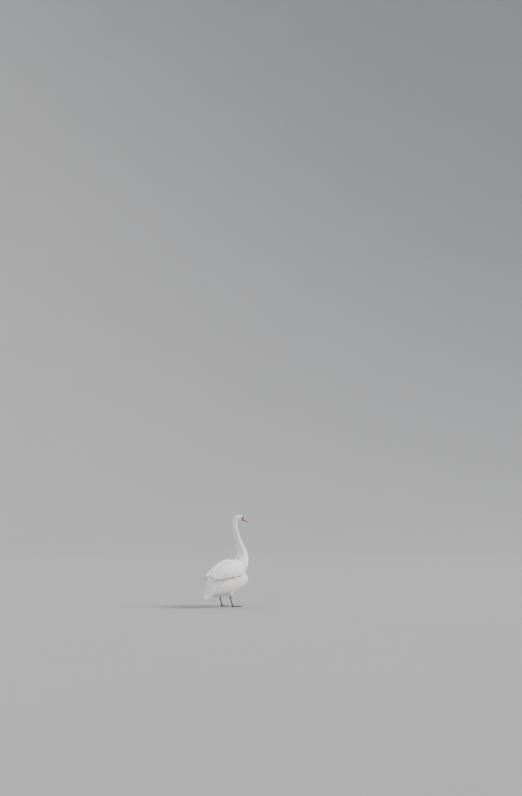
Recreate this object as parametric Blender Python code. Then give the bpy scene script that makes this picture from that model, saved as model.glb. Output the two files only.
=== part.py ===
"""A life-size mute swan (an adult male) standing with folded wings, as one still figure.

Metres, +Z up. The swan faces +X with its left side at +Y, its soles lie on z = 0 and the middle
of its box stands over the origin. Each sub-part is one closed solid: trunk, neck, head, the
two halves of the bill and its knob, eyes, folded wings with the primary feathers parted from
them, tail fan, feathered thighs, bare shanks and webbed feet. Neighbours keep a thin gap.
"""
import math

import bpy
import numpy as np

GAP = 0.0003            # clearance between neighbouring solids
TOOL_GAP = 0.00045      # a tool's growth, which its facets bring down to about the gap

# ---- trunk: rings from the vent to the breast -------------------------------------------
# (back x, back z, belly x, belly z, half width)
TRUNK_RINGS = [
    (-0.345, 0.203, -0.336, 0.168, 0.030),
    (-0.315, 0.250, -0.290, 0.141, 0.064),
    (-0.262, 0.338, -0.215, 0.131, 0.098),
    (-0.205, 0.402, -0.120, 0.131, 0.130),
    (-0.125, 0.463, -0.015, 0.143, 0.149),
    (-0.035, 0.508, 0.085, 0.171, 0.157),
    (0.040, 0.520, 0.170, 0.205, 0.153),
    (0.090, 0.500, 0.232, 0.232, 0.143),
    (0.140, 0.468, 0.280, 0.258, 0.127),
    (0.195, 0.440, 0.311, 0.286, 0.110),
    (0.250, 0.415, 0.327, 0.314, 0.084),
    (0.292, 0.385, 0.331, 0.340, 0.048),
]
TRUNK_FULLNESS = 2.25   # 2 is an ellipse, more is squarer
TRUNK_STEPS = 28
TRUNK_SIDES = 28

# ---- neck: centre x, centre z and radius, from inside the breast to the nape --------------
NECK_PATH = [
    (0.165, 0.408, 0.078),
    (0.202, 0.453, 0.092),
    (0.239, 0.500, 0.092),
    (0.271, 0.550, 0.083),
    (0.286, 0.605, 0.069),
    (0.271, 0.675, 0.0585),
    (0.243, 0.730, 0.0500),
    (0.218, 0.775, 0.0440),
    (0.190, 0.825, 0.0390),
    (0.164, 0.875, 0.0365),
    (0.146, 0.925, 0.0355),
    (0.135, 0.975, 0.0350),
    (0.129, 1.020, 0.0345),
]
NECK_STEPS = 26
NECK_SIDES = 20

# ---- head, in its own sagittal frame: forward and up from the head's centre ---------------
HEAD_CENTRE = (0.186, 1.101)
HEAD_PITCH = math.radians(12.0)      # bill held down by this much
HEAD_TURN = math.radians(-38.0)      # looking to its right
TURN_AXIS_X = 0.129                  # the upright line that head and upper neck turn about
TURN_FROM_Z, TURN_TO_Z = 0.85, 1.02  # the turn grows between these heights
# (top forward, top up, bottom forward, bottom up, half width)
HEAD_RINGS = [
    (-0.074, -0.050, -0.008, -0.066, 0.0335),
    (-0.062, -0.014, 0.001, -0.047, 0.0315),
    (-0.037, 0.018, 0.010, -0.036, 0.0300),
    (-0.010, 0.032, 0.016, -0.033, 0.0290),
    (0.014, 0.032, 0.024, -0.031, 0.0265),
    (0.034, 0.023, 0.033, -0.027, 0.0225),
    (0.047, 0.011, 0.041, -0.0235, 0.0185),
]
HEAD_STEPS = 14
HEAD_SIDES = 20
EYE_PLACE = (0.017, 0.0212, 0.006)   # forward, sideways, up from the head's centre
EYE_RADIUS = 0.0068

# (forward, culmen, gape, chin, half width), from the feather edge to the nail
BILL_RINGS = [
    (0.0470, 0.0110, -0.0120, -0.0235, 0.0185),
    (0.0600, 0.0015, -0.0150, -0.0255, 0.0170),
    (0.0780, -0.0080, -0.0190, -0.0280, 0.0160),
    (0.0960, -0.0160, -0.0235, -0.0310, 0.0170),
    (0.1110, -0.0220, -0.0275, -0.0335, 0.0175),
    (0.1210, -0.0265, -0.0305, -0.0350, 0.0145),
    (0.1265, -0.0305, -0.0330, -0.0352, 0.0085),
]
BILL_BASE_LEAN = 0.006               # the feather edge runs back this far from culmen to chin
BILL_STEPS = 12
BILL_ARC = 10                        # points over one half of the bill's section
KNOB_PLACE = (0.0535, 0.0095)
KNOB_RADII = (0.0135, 0.0100, 0.0095)
KNOB_SLOPE = math.radians(38.0)

# ---- folded wings, as upright sections from the wrist to the tip -------------------------
# (x, crest z, widest z, half width, lower margin z, inner edge y, thickness)
WING_SECTIONS = [
    (0.188, 0.500, 0.445, 0.112, 0.434, 0.022, 0.040),
    (0.170, 0.535, 0.436, 0.132, 0.418, 0.006, 0.070),
    (0.130, 0.574, 0.426, 0.157, 0.398, 0.001, 0.090),
    (0.060, 0.584, 0.417, 0.171, 0.386, 0.001, 0.095),
    (-0.030, 0.572, 0.407, 0.172, 0.380, 0.001, 0.095),
    (-0.110, 0.536, 0.396, 0.164, 0.375, 0.001, 0.095),
    (-0.190, 0.489, 0.381, 0.146, 0.363, 0.001, 0.080),
    (-0.260, 0.447, 0.365, 0.122, 0.349, 0.004, 0.036),
    (-0.315, 0.415, 0.350, 0.102, 0.337, 0.018, 0.016),
    (-0.345, 0.393, 0.340, 0.085, 0.331, 0.034, 0.009),
    (-0.358, 0.374, 0.337, 0.072, 0.331, 0.048, 0.005),
]
WING_TROUGH = 0.014                  # dip between the wings along the back
WING_TROUGH_HALF = 0.028
WING_EDGE = 0.0035                   # thickness at the wing's edges
WING_ARC = 12                        # points over the outer face of a section
WING_STEPS = 18
PRIMARY_STEPS = 7
PRIMARIES_FROM = 0.74                # share of the wing's length where the tip is parted off

# ---- tail fan ------------------------------------------------------------------------------
TAIL_ROOT = (-0.270, 0.304)
TAIL_SLOPE = math.radians(52.0)
TAIL_SWING = math.radians(-8.0)      # held a little to the right
TAIL_LENGTH = 0.243
TAIL_HALF_WIDTH = 0.084
TAIL_DROOP = 0.016                   # the fan's sides hang below its middle by this much
TAIL_THICK_ROOT, TAIL_THICK_TIP = 0.034, 0.0045
TAIL_STEPS = 9
TAIL_ARC = 13

# ---- legs ------------------------------------------------------------------------------------
# (z, x, half length, half width) of upright-stacked rings
THIGH_RINGS = [
    (0.235, -0.012, 0.052, 0.036),
    (0.195, -0.022, 0.052, 0.036),
    (0.165, -0.034, 0.038, 0.030),
    (0.145, -0.042, 0.021, 0.020),
    (0.1345, -0.0455, 0.0125, 0.0120),
]
SHANK_RINGS = [
    (0.1342, -0.0455, 0.0105, 0.0095),
    (0.126, -0.0460, 0.0130, 0.0115),
    (0.114, -0.0425, 0.0105, 0.0098),
    (0.098, -0.0360, 0.0078, 0.0068),
    (0.060, -0.0215, 0.0072, 0.0062),
    (0.035, -0.0105, 0.0082, 0.0075),
    (0.0203, -0.0050, 0.0105, 0.0100),
]
LEG_Y = 0.082                        # each leg's distance from the middle
LEG_STEP = 0.012                     # the right foot stands this far ahead of the left
LEG_SIDES = 12

# ---- feet: a fan of three toes with webs between, flat below -------------------------------
TOES = [                             # (angle outward, length with its claw)
    (math.radians(-29.0), 0.118),
    (math.radians(4.0), 0.148),
    (math.radians(37.0), 0.136),
]
HEEL_X = -0.006
HEEL_RADIUS = 0.014
HUB_HEIGHT = 0.0200
TOE_HEIGHT = 0.0115
WEB_HEIGHT = 0.0030
WEB_REACH = 0.80                     # the web's edge between two toes, as a share of their length
TOE_SPREAD = math.radians(4.2)       # half angle taken by a toe's ridge
FAN_STEPS, FAN_ROWS = 27, 6
HALLUX_LENGTH, HALLUX_HEIGHT, HALLUX_RADIUS = 0.026, 0.0125, 0.0046

COLOURS = {                          # base colour, roughness
    "white plumage": ((0.80, 0.78, 0.74), 0.85),
    "orange bill": ((0.62, 0.17, 0.04), 0.45),
    "black skin": ((0.020, 0.020, 0.022), 0.55),
    "brown eye": ((0.020, 0.010, 0.006), 0.08),
}


def between(rows, count, start=0.0, end=1.0):
    """Read smooth rows from a table: a Catmull-Rom curve through its rows, as count samples."""
    rows = np.asarray(rows, float)
    padded = np.vstack([2 * rows[0] - rows[1], rows, 2 * rows[-1] - rows[-2]])
    at = np.linspace(start, end, count) * (len(rows) - 1)
    index = np.minimum(at.astype(int), len(rows) - 2)
    f = (at - index)[:, None]
    a, b, c, d = (padded[index + k] for k in range(4))
    return 0.5 * (2 * b + (c - a) * f + (2 * a - 5 * b + 4 * c - d) * f**2
                  + (3 * b - a - 3 * c + d) * f**3)


def superellipse(angle, fullness):
    """Cosine and sine of a rounder or squarer ellipse."""
    c, s = np.cos(angle), np.sin(angle)
    power = 2.0 / fullness
    return np.sign(c) * np.abs(c)**power, np.sign(s) * np.abs(s)**power


def sagittal_rings(rows, sides, fullness=2.0):
    """Rings from (top x, top z, bottom x, bottom z, half width) rows, as rows x sides x 3."""
    angle = np.arange(sides) * 2 * np.pi / sides
    up, side = superellipse(angle, fullness)
    rows = np.asarray(rows)[:, None, :]
    middle = (rows[..., 0:2] + rows[..., 2:4]) / 2
    half = (rows[..., 0:2] - rows[..., 2:4]) / 2
    x = middle[..., 0] + half[..., 0] * up
    z = middle[..., 1] + half[..., 1] * up
    return np.stack([x, rows[..., 4] * side, z], axis=-1)


def path_rows(path):
    """Sagittal rows for a round tube along (x, z, radius) points."""
    path = np.asarray(path, float)
    along = np.gradient(path[:, :2], axis=0)
    along /= np.linalg.norm(along, axis=1)[:, None]
    out = np.stack([-along[:, 1], along[:, 0]], axis=1) * path[:, 2:3]
    return np.hstack([path[:, :2] + out, path[:, :2] - out, path[:, 2:3]])


def head_point(forward, up):
    """Carry head-frame distances into the upright plane of the body."""
    c, s = math.cos(HEAD_PITCH), math.sin(HEAD_PITCH)
    return HEAD_CENTRE[0] + forward * c + up * s, HEAD_CENTRE[1] - forward * s + up * c


def head_rows(rows):
    rows = np.asarray(rows, float)
    top = head_point(rows[:, 0], rows[:, 1])
    bottom = head_point(rows[:, 2], rows[:, 3])
    return np.column_stack([*top, *bottom, rows[:, 4]])


def turned(points):
    """Turn the head and, growing with height, the upper neck to the right."""
    points = np.array(points, float)
    share = np.clip((points[..., 2] - TURN_FROM_Z) / (TURN_TO_Z - TURN_FROM_Z), 0, 1)
    angle = HEAD_TURN * share * share * (3 - 2 * share)
    x, y = points[..., 0] - TURN_AXIS_X, points[..., 1].copy()
    points[..., 0] = TURN_AXIS_X + x * np.cos(angle) - y * np.sin(angle)
    points[..., 1] = x * np.sin(angle) + y * np.cos(angle)
    return points


def finish_mesh(name, vertices, faces, colour):
    """Make one named object with its own material."""
    mesh = bpy.data.meshes.new(name)
    mesh.from_pydata([tuple(v) for v in vertices], [], faces)
    mesh.validate()
    obj = bpy.data.objects.new(name, mesh)
    bpy.context.scene.collection.objects.link(obj)
    base, roughness = COLOURS[colour]
    material = bpy.data.materials.new(name)
    material.use_nodes = True
    shader = material.node_tree.nodes["Principled BSDF"]
    shader.inputs["Base Color"].default_value = (*base, 1.0)
    shader.inputs["Roughness"].default_value = roughness
    mesh.materials.append(material)
    mesh.shade_smooth()
    return obj


def loft(name, rings, colour):
    """Close a stack of rings into a solid, with a point in the middle of each end."""
    rings = np.asarray(rings)
    steps, sides = rings.shape[:2]
    vertices = np.vstack([rings.reshape(-1, 3), rings[0].mean(axis=0), rings[-1].mean(axis=0)])
    first, last = steps * sides, steps * sides + 1
    faces = []
    for i in range(steps - 1):
        for j in range(sides):
            k = (j + 1) % sides
            faces.append((i * sides + j, i * sides + k, (i + 1) * sides + k, (i + 1) * sides + j))
    for j in range(sides):
        k = (j + 1) % sides
        faces.append((first, k, j))
        faces.append((last, (steps - 1) * sides + j, (steps - 1) * sides + k))
    if signed_volume(vertices, faces) < 0:
        faces = [face[::-1] for face in faces]
    return finish_mesh(name, vertices, faces, colour)


def signed_volume(vertices, faces):
    total = 0.0
    for face in faces:
        for k in range(1, len(face) - 1):
            a, b, c = (vertices[face[i]] for i in (0, k, k + 1))
            total += np.dot(a, np.cross(b, c))
    return total


def ball(centre, radii, rings=6, sides=12):
    """Rings of an ellipsoid stacked along x; the ends close to small caps."""
    angle = np.linspace(0, np.pi, rings + 2)[1:-1]
    around = np.arange(sides) * 2 * np.pi / sides
    x = centre[0] - radii[0] * np.cos(angle)[:, None] + 0 * around
    y = centre[1] + radii[1] * np.sin(angle)[:, None] * np.cos(around)
    z = centre[2] + radii[2] * np.sin(angle)[:, None] * np.sin(around)
    ring = np.stack([x, y, z], axis=-1)
    return ring


def swollen_copy(obj):
    """A tool of the same shape pushed out along its normals, a little more than the gap."""
    tool = bpy.data.objects.new(obj.name + "_tool", obj.data)
    bpy.context.scene.collection.objects.link(tool)
    tool.hide_render = True
    tool.display_type = "WIRE"
    push = tool.modifiers.new("gap", "DISPLACE")
    push.direction = "NORMAL"
    push.mid_level = 0.0
    push.strength = TOOL_GAP
    return tool


def cut(obj, tool):
    """Take a tool's shape away from a solid."""
    modifier = obj.modifiers.new("clear of " + tool.name, "BOOLEAN")
    modifier.operation = "DIFFERENCE"
    modifier.solver = "EXACT"
    modifier.object = tool


def make_body():
    """Trunk, neck and head, with swollen copies to clear whatever meets them."""
    rows = between(TRUNK_RINGS, TRUNK_STEPS)
    trunk = loft("trunk", sagittal_rings(rows, TRUNK_SIDES, TRUNK_FULLNESS), "white plumage")
    trunk_tool = swollen_copy(trunk)

    neck_rows = path_rows(between(NECK_PATH, NECK_STEPS))
    neck = loft("neck", turned(sagittal_rings(neck_rows, NECK_SIDES)), "white plumage")
    neck_tool = swollen_copy(neck)
    cut(neck, trunk_tool)

    nape = neck_rows[-1].copy()
    nape[[1, 3]] += GAP
    rows = np.vstack([nape, head_rows(between(HEAD_RINGS, HEAD_STEPS))])
    head = loft("head", turned(sagittal_rings(rows, HEAD_SIDES)), "white plumage")
    return trunk_tool, neck_tool, head, swollen_copy(head)


def make_eyes(head):
    forward, side, up = EYE_PLACE
    x, z = head_point(forward, up)
    for name, y in (("left", side), ("right", -side)):
        eye = loft("eye_" + name, turned(ball((x, y, z), np.full(3, EYE_RADIUS))), "brown eye")
        cut(head, swollen_copy(eye))


def bill_half(rows, edge, spread):
    """Half-round sections between the gape line and the culmen or the chin."""
    rows = np.asarray(rows)
    angle = np.linspace(0, np.pi, BILL_ARC)
    level = rows[:, 2:3]
    height = (edge - rows[:, 2])[:, None]
    up = level + height * np.sin(angle)**0.85
    side = rows[:, 4:5] * spread * np.cos(angle)
    drop = (rows[0, 1] - up) / (rows[0, 1] - rows[0, 3])
    fade = np.clip(1 - (rows[:, 0:1] - rows[0, 0]) / 0.02, 0, 1)
    forward = rows[:, 0:1] - BILL_BASE_LEAN * drop * fade
    x, z = head_point(forward, up)
    return turned(np.stack([x, side, z], axis=-1))


def make_bill(head_tool):
    rows = between(BILL_RINGS, BILL_STEPS)
    rows[:, 0] += GAP
    upper = rows.copy()
    upper[:, 2] += GAP / 2
    bill = loft("bill_upper", bill_half(upper, upper[:, 1], 1.0), "orange bill")
    lower = rows[:-1].copy()
    lower[:, 2] -= GAP / 2
    loft("bill_lower", bill_half(lower, lower[:, 3], 0.86), "orange bill")

    rings = ball((0, 0, 0), KNOB_RADII, rings=7, sides=14)
    c, s = math.cos(KNOB_SLOPE), math.sin(KNOB_SLOPE)
    forward = KNOB_PLACE[0] + rings[..., 0] * c + rings[..., 2] * s
    up = KNOB_PLACE[1] - rings[..., 0] * s + rings[..., 2] * c
    x, z = head_point(forward, up)
    knob = loft("bill_knob", turned(np.stack([x, rings[..., 1], z], axis=-1)), "black skin")
    cut(knob, head_tool)
    cut(knob, swollen_copy(bill))


def wing_rings(rows, side):
    """Crescent sections: an outer arch over the back and flank, and the same arch set inward."""
    rows = np.asarray(rows)[:, None, :]
    x, crest, widest, half, margin, inner, thick = (rows[..., k] for k in range(7))
    height = crest - widest
    power = 2.0 / 2.3
    first = np.arcsin(np.clip(inner / half, 0, 1)**(1 / power))
    last = np.pi / 2 + np.arcsin(np.clip((widest - margin) / height, 0, 0.8)**(1 / power))
    share = np.linspace(0, 1, WING_ARC)

    def arch(depth):
        angle = first + (last - first) * share
        c, s = np.cos(angle), np.sin(angle)
        y = (half - depth) * np.abs(s)**power
        z = widest + (height - depth) * np.sign(c) * np.abs(c)**power
        return y, z - WING_TROUGH * np.exp(-(y / WING_TROUGH_HALF)**2)

    outer_y, outer_z = arch(0.0)
    rim = 1 - np.clip(2 * share - 1, 0, 1)**5
    inner_y, inner_z = arch(WING_EDGE + (thick - WING_EDGE) * rim)
    inner_y = np.maximum(inner_y, inner)
    y = np.concatenate([outer_y, inner_y[:, ::-1]], axis=1)
    z = np.concatenate([outer_z, inner_z[:, ::-1]], axis=1)
    return np.stack([x + 0 * y, y * side, z], axis=-1)


def make_wings(trunk_tool, neck_tool):
    for name, side in (("left", 1), ("right", -1)):
        front = wing_rings(between(WING_SECTIONS, WING_STEPS, 0, PRIMARIES_FROM), side)
        wing = loft("wing_" + name, front, "white plumage")
        cut(wing, neck_tool)
        cut(wing, trunk_tool)
        rows = between(WING_SECTIONS, PRIMARY_STEPS, PRIMARIES_FROM, 1)
        rows[0, 0] -= GAP
        tip = loft("primaries_" + name, wing_rings(rows, side), "white plumage")
        cut(tip, trunk_tool)


def make_tail(trunk_tool):
    """A rounded fan with a thin rim, arched from side to side."""
    share = np.linspace(0, 1, TAIL_STEPS)[:, None]
    half = TAIL_HALF_WIDTH * (0.84 + 0.16 * np.sin(np.pi / 2 * np.clip(share / 0.4, 0, 1)))
    half = half * np.sqrt(np.clip(1 - np.clip((share - 0.40) / 0.606, 0, 1)**1.7, 0, 1))
    thick = TAIL_THICK_ROOT + (TAIL_THICK_TIP - TAIL_THICK_ROOT) * share**0.7
    across = np.cos(np.linspace(0, np.pi, TAIL_ARC))[None, :]
    lens = (1 - across**2)**0.5 * 0.5 * (thick - 0.001) + 0.0005
    sag = -TAIL_DROOP * (half * across / TAIL_HALF_WIDTH)**2
    top, bottom = sag + lens, sag - lens
    wide = np.concatenate([half * across, (half * across)[:, ::-1]], axis=1)
    lift = np.concatenate([top, bottom[:, ::-1]], axis=1)
    c, s = math.cos(TAIL_SWING), math.sin(TAIL_SWING)
    out = share * TAIL_LENGTH * c - wide * s
    y = share * TAIL_LENGTH * s + wide * c
    c, s = math.cos(TAIL_SLOPE), math.sin(TAIL_SLOPE)
    x = TAIL_ROOT[0] - out * c - lift * s
    z = TAIL_ROOT[1] - out * s + lift * c
    tail = loft("tail", np.stack([x, y, z], axis=-1), "white plumage")
    cut(tail, trunk_tool)


def leg_rings(rows, y, ahead):
    rows = np.asarray(rows)[:, None, :]
    angle = np.arange(LEG_SIDES) * 2 * np.pi / LEG_SIDES
    x = rows[..., 1] + ahead + rows[..., 2] * np.cos(angle)
    return np.stack([x, y + rows[..., 3] * np.sin(angle), rows[..., 0] + 0 * x], axis=-1)


def foot_outline(angle):
    """Reach of the foot from its heel at an angle: claws at the toes, scalloped webs between."""
    reach = np.zeros_like(angle)
    for toe, length in TOES:
        near = np.clip(1 - np.abs(angle - toe) / TOE_SPREAD, 0, 1)
        reach = np.maximum(reach, length * (0.90 + 0.10 * near) * (near > 0))
    for (a, length_a), (b, length_b) in zip(TOES[:-1], TOES[1:]):
        f = np.clip((angle - a) / (b - a), 0, 1)
        web = (length_a + (length_b - length_a) * f) * (0.90 - (0.90 - WEB_REACH) * np.sin(np.pi * f))
        reach = np.where((angle > a) & (angle < b), np.maximum(reach, web), reach)
    return reach


def make_foot(name, y, side, ahead):
    """Rows of a fan from the heel pad to the outline, with a ridge along each toe."""
    low = TOES[0][0] - TOE_SPREAD
    high = TOES[-1][0] + TOE_SPREAD
    angle = np.linspace(low, high, FAN_STEPS)
    for toe, _ in TOES:
        angle[np.argmin(np.abs(angle - toe))] = toe
    reach = np.maximum(foot_outline(angle), TOES[0][1] * 0.86)
    share = np.linspace(0, 1, FAN_ROWS)[1:, None]
    out = share * reach
    ridge = np.zeros_like(out)
    for toe, length in TOES:
        across = np.abs(angle - toe) * np.maximum(out, 0.02)
        width = 0.0085 - 0.003 * share
        ridge = np.maximum(ridge, np.clip(1 - (across / width)**2, 0, 1) * (1 - 0.55 * share))
    height = WEB_HEIGHT + (TOE_HEIGHT - WEB_HEIGHT) * ridge
    hub = np.exp(-(out / 0.022)**2)
    height = np.maximum(height, HUB_HEIGHT * hub)
    x, across = out * np.cos(angle), out * np.sin(angle)

    vertices = [(0.0, 0.0, HUB_HEIGHT)]
    vertices += list(zip(x.ravel(), across.ravel(), height.ravel()))
    rows, cols = out.shape
    faces = [(0, 1 + j, 2 + j) for j in range(cols - 1)]
    for i in range(rows - 1):
        for j in range(cols - 1):
            a = 1 + i * cols + j
            faces.append((a, a + cols, a + cols + 1, a + 1))
    # the heel pad goes round behind the hub, then the wall drops to the flat sole
    back = np.linspace(high, low + 2 * np.pi, 7)[1:-1]
    first_back = len(vertices)
    vertices += [(HEEL_RADIUS * math.cos(a), HEEL_RADIUS * math.sin(a), HUB_HEIGHT * 0.6)
                 for a in back]
    right = [1 + i * cols for i in range(rows)]
    left = [1 + i * cols + cols - 1 for i in range(rows)]
    rim = [1 + (rows - 1) * cols + j for j in range(cols)]
    heel = list(range(first_back, first_back + len(back)))
    ring = [left[0]] + heel + [right[0]]
    faces += [(0, a, b) for a, b in zip(ring[:-1], ring[1:])]
    border = right[:-1] + rim + left[-2::-1] + heel
    base = len(vertices)
    vertices += [(vertices[k][0], vertices[k][1], 0.0) for k in border]
    count = len(border)
    for j in range(count):
        k = (j + 1) % count
        faces.append((border[j], base + j, base + k, border[k]))
    faces.append(tuple(base + j for j in range(count))[::-1])
    placed = np.array(vertices)
    placed[:, 1] *= side
    placed += (HEEL_X + ahead, y, 0)
    if signed_volume(placed, faces) < 0:
        faces = [face[::-1] for face in faces]
    return finish_mesh(name, placed, faces, "black skin")


def make_hallux(name, y, ahead):
    """The small raised hind toe, a tapered tube behind the heel."""
    share = np.linspace(0, 1, 5)[:, None]
    angle = np.arange(8) * 2 * np.pi / 8
    radius = HALLUX_RADIUS * (1 - 0.75 * share**1.5)
    x = HEEL_X + ahead - HEEL_RADIUS - GAP - HALLUX_LENGTH * share + 0 * angle
    z = HALLUX_HEIGHT - 0.006 * share**1.5 + radius * np.sin(angle)
    ring = np.stack([x, y + radius * np.cos(angle), z], axis=-1)
    loft(name, ring, "black skin")


def make_legs(trunk_tool):
    for name, side in (("left", 1), ("right", -1)):
        y = LEG_Y * side
        ahead = LEG_STEP * (0.5 if side < 0 else -0.5)
        thigh = loft("thigh_" + name, leg_rings(between(THIGH_RINGS, 9), y, ahead),
                     "white plumage")
        cut(thigh, trunk_tool)
        loft("shank_" + name, leg_rings(between(SHANK_RINGS, 13), y, ahead), "black skin")
        make_foot("foot_" + name, y, side, ahead)
        make_hallux("hallux_" + name, y, ahead)


def centre_figure():
    """Stand the middle of the figure's box over the origin, by parenting all to one empty."""
    pieces = [o for o in bpy.data.objects if o.type == "MESH"]
    shown = [o for o in pieces if not o.hide_render]
    points = np.array([v.co for o in shown for v in o.data.vertices])
    middle = (points.min(axis=0) + points.max(axis=0)) / 2
    stand = bpy.data.objects.new("figure", None)
    bpy.context.scene.collection.objects.link(stand)
    stand.location = (-middle[0], -middle[1], 0)
    for piece in pieces:
        piece.parent = stand


def main():
    for obj in list(bpy.data.objects):
        bpy.data.objects.remove(obj, do_unlink=True)
    trunk_tool, neck_tool, head, head_tool = make_body()
    make_eyes(head)
    make_bill(head_tool)
    make_wings(trunk_tool, neck_tool)
    make_tail(trunk_tool)
    make_legs(trunk_tool)
    centre_figure()


main()
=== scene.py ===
"""Looks of a life-size mute swan that stands with folded wings and looks to its right.

The body, the wings, the tail fan and the legs are surfaces worked out from two parameters. One
skin lies under the coat. Every feather is a thin closed lens laid along such a surface, with its
root low and its tip high, so that each row covers the roots of the next. Metres, +Z up; the
swan faces +X with its left side at +Y.
"""
import math

import bpy
import numpy as np
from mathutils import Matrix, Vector


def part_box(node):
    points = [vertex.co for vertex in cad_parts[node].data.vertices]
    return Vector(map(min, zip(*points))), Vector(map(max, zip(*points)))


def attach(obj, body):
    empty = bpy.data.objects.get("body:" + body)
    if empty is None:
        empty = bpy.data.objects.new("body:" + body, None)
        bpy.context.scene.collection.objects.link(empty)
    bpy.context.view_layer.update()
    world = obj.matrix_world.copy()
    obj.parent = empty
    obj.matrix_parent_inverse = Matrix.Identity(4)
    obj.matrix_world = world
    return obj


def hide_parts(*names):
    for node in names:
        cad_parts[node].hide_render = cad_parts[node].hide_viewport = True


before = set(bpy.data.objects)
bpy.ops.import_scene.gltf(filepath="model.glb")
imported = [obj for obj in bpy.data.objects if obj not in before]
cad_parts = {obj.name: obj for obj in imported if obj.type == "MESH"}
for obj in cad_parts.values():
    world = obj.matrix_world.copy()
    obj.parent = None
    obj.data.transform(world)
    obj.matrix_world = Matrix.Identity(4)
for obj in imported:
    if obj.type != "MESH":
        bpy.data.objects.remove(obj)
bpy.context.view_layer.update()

# ---- the body's rings, from the vent over the breast to the lower neck ----
# (back x, back z, belly x, belly z, half width)
TRUNK_RINGS = [
    (-0.345, 0.203, -0.336, 0.168, 0.030),
    (-0.315, 0.250, -0.290, 0.141, 0.064),
    (-0.262, 0.338, -0.215, 0.131, 0.098),
    (-0.205, 0.402, -0.120, 0.131, 0.130),
    (-0.125, 0.463, -0.015, 0.143, 0.149),
    (-0.035, 0.508, 0.085, 0.171, 0.157),
    (0.035, 0.522, 0.170, 0.205, 0.153),
    (0.085, 0.500, 0.232, 0.232, 0.143),
    (0.112, 0.480, 0.280, 0.258, 0.130),
    (0.123, 0.466, 0.311, 0.286, 0.114),
    (0.129, 0.457, 0.327, 0.320, 0.095),
    (0.132, 0.452, 0.322, 0.362, 0.079),
    (0.134, 0.451, 0.296, 0.398, 0.073),
    (0.136, 0.458, 0.302, 0.440, 0.088),
    (0.143, 0.485, 0.326, 0.492, 0.098),
    (0.160, 0.535, 0.345, 0.542, 0.090),
    (0.192, 0.588, 0.356, 0.592, 0.077),
    (0.209, 0.626, 0.351, 0.642, 0.067),
    (0.216, 0.656, 0.326, 0.695, 0.0585),
]
NECK_PATH = [                        # centre x, centre z and radius
    (0.243, 0.730, 0.0500),
    (0.218, 0.775, 0.0440),
    (0.190, 0.825, 0.0390),
    (0.164, 0.875, 0.0365),
    (0.146, 0.925, 0.0355),
    (0.135, 0.975, 0.0350),
    (0.129, 1.020, 0.0345),
]
HEAD_CENTRE = (0.186, 1.101)
HEAD_PITCH = math.radians(12.0)
HEAD_TURN = math.radians(-38.0)
TURN_AXIS_X = 0.129
TURN_FROM_Z, TURN_TO_Z = 0.85, 1.02
# (top forward, top up, bottom forward, bottom up, half width) in the head's own frame
HEAD_RINGS = [
    (-0.074, -0.050, -0.008, -0.066, 0.0335),
    (-0.062, -0.014, 0.001, -0.047, 0.0315),
    (-0.037, 0.018, 0.010, -0.036, 0.0300),
    (-0.010, 0.032, 0.016, -0.033, 0.0290),
    (0.014, 0.032, 0.024, -0.031, 0.0265),
    (0.034, 0.023, 0.033, -0.027, 0.0225),
    (0.047, 0.011, 0.041, -0.0235, 0.0185),
]
EYE_PLACE = (0.017, 0.0212, 0.006)
EYE_RADIUS, EYE_OPENING = 0.0068, 0.0072
LID_HALF_LENGTH, LID_HALF_HEIGHT = 0.0061, 0.0047
# bare lores: the back corner, then height there and slope of the top and the low edge
LORES_BACK, LORES_TOP, LORES_LOW = 0.0225, (0.0068, 0.34), (0.0050, -0.98)
# (forward, culmen, gape, chin, half width), from the feather edge to the nail
BILL_RINGS = [
    (0.0470, 0.0110, -0.0120, -0.0235, 0.0185),
    (0.0600, 0.0015, -0.0150, -0.0255, 0.0170),
    (0.0780, -0.0080, -0.0190, -0.0280, 0.0160),
    (0.0960, -0.0160, -0.0235, -0.0310, 0.0170),
    (0.1110, -0.0220, -0.0275, -0.0335, 0.0175),
    (0.1210, -0.0265, -0.0305, -0.0350, 0.0145),
    (0.1265, -0.0305, -0.0330, -0.0352, 0.0085),
]
BILL_BASE_LEAN = 0.006
LOWER_BILL_WIDTH = 0.86             # of the upper half's
NOSTRIL = (0.0745, 0.62)             # forward, and share of the way from gape to culmen
KNOB_PLACE = (0.0535, 0.0095)
KNOB_RADII = (0.0135, 0.0100, 0.0095)
KNOB_SLOPE = math.radians(38.0)

# ---- folded wings: (x, crest z, widest z, half width, lower margin z, inner edge y) ----
WING_SECTIONS = [
    (0.188, 0.500, 0.445, 0.112, 0.434, 0.022),
    (0.170, 0.535, 0.436, 0.132, 0.418, 0.006),
    (0.130, 0.574, 0.426, 0.157, 0.398, 0.001),
    (0.060, 0.584, 0.417, 0.171, 0.386, 0.001),
    (-0.030, 0.572, 0.407, 0.172, 0.380, 0.001),
    (-0.110, 0.536, 0.396, 0.164, 0.375, 0.001),
    (-0.190, 0.489, 0.381, 0.146, 0.363, 0.001),
    (-0.260, 0.447, 0.365, 0.122, 0.349, 0.004),
    (-0.315, 0.415, 0.350, 0.102, 0.337, 0.018),
    (-0.345, 0.393, 0.340, 0.085, 0.331, 0.034),
    (-0.358, 0.374, 0.337, 0.072, 0.331, 0.048),
]
WING_SQUARENESS = 2.3                # power of the superellipse; 2 would be round
WING_TROUGH, WING_TROUGH_HALF = 0.014, 0.028
WING_HIDES = (-0.235, 0.110, 0.008)  # the body from x to x, and from this far above the margin
SHOULDER_CENTRE = (0.122, 0.096, 0.457)
SHOULDER_RADII = (0.066, 0.038, 0.060)

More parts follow.
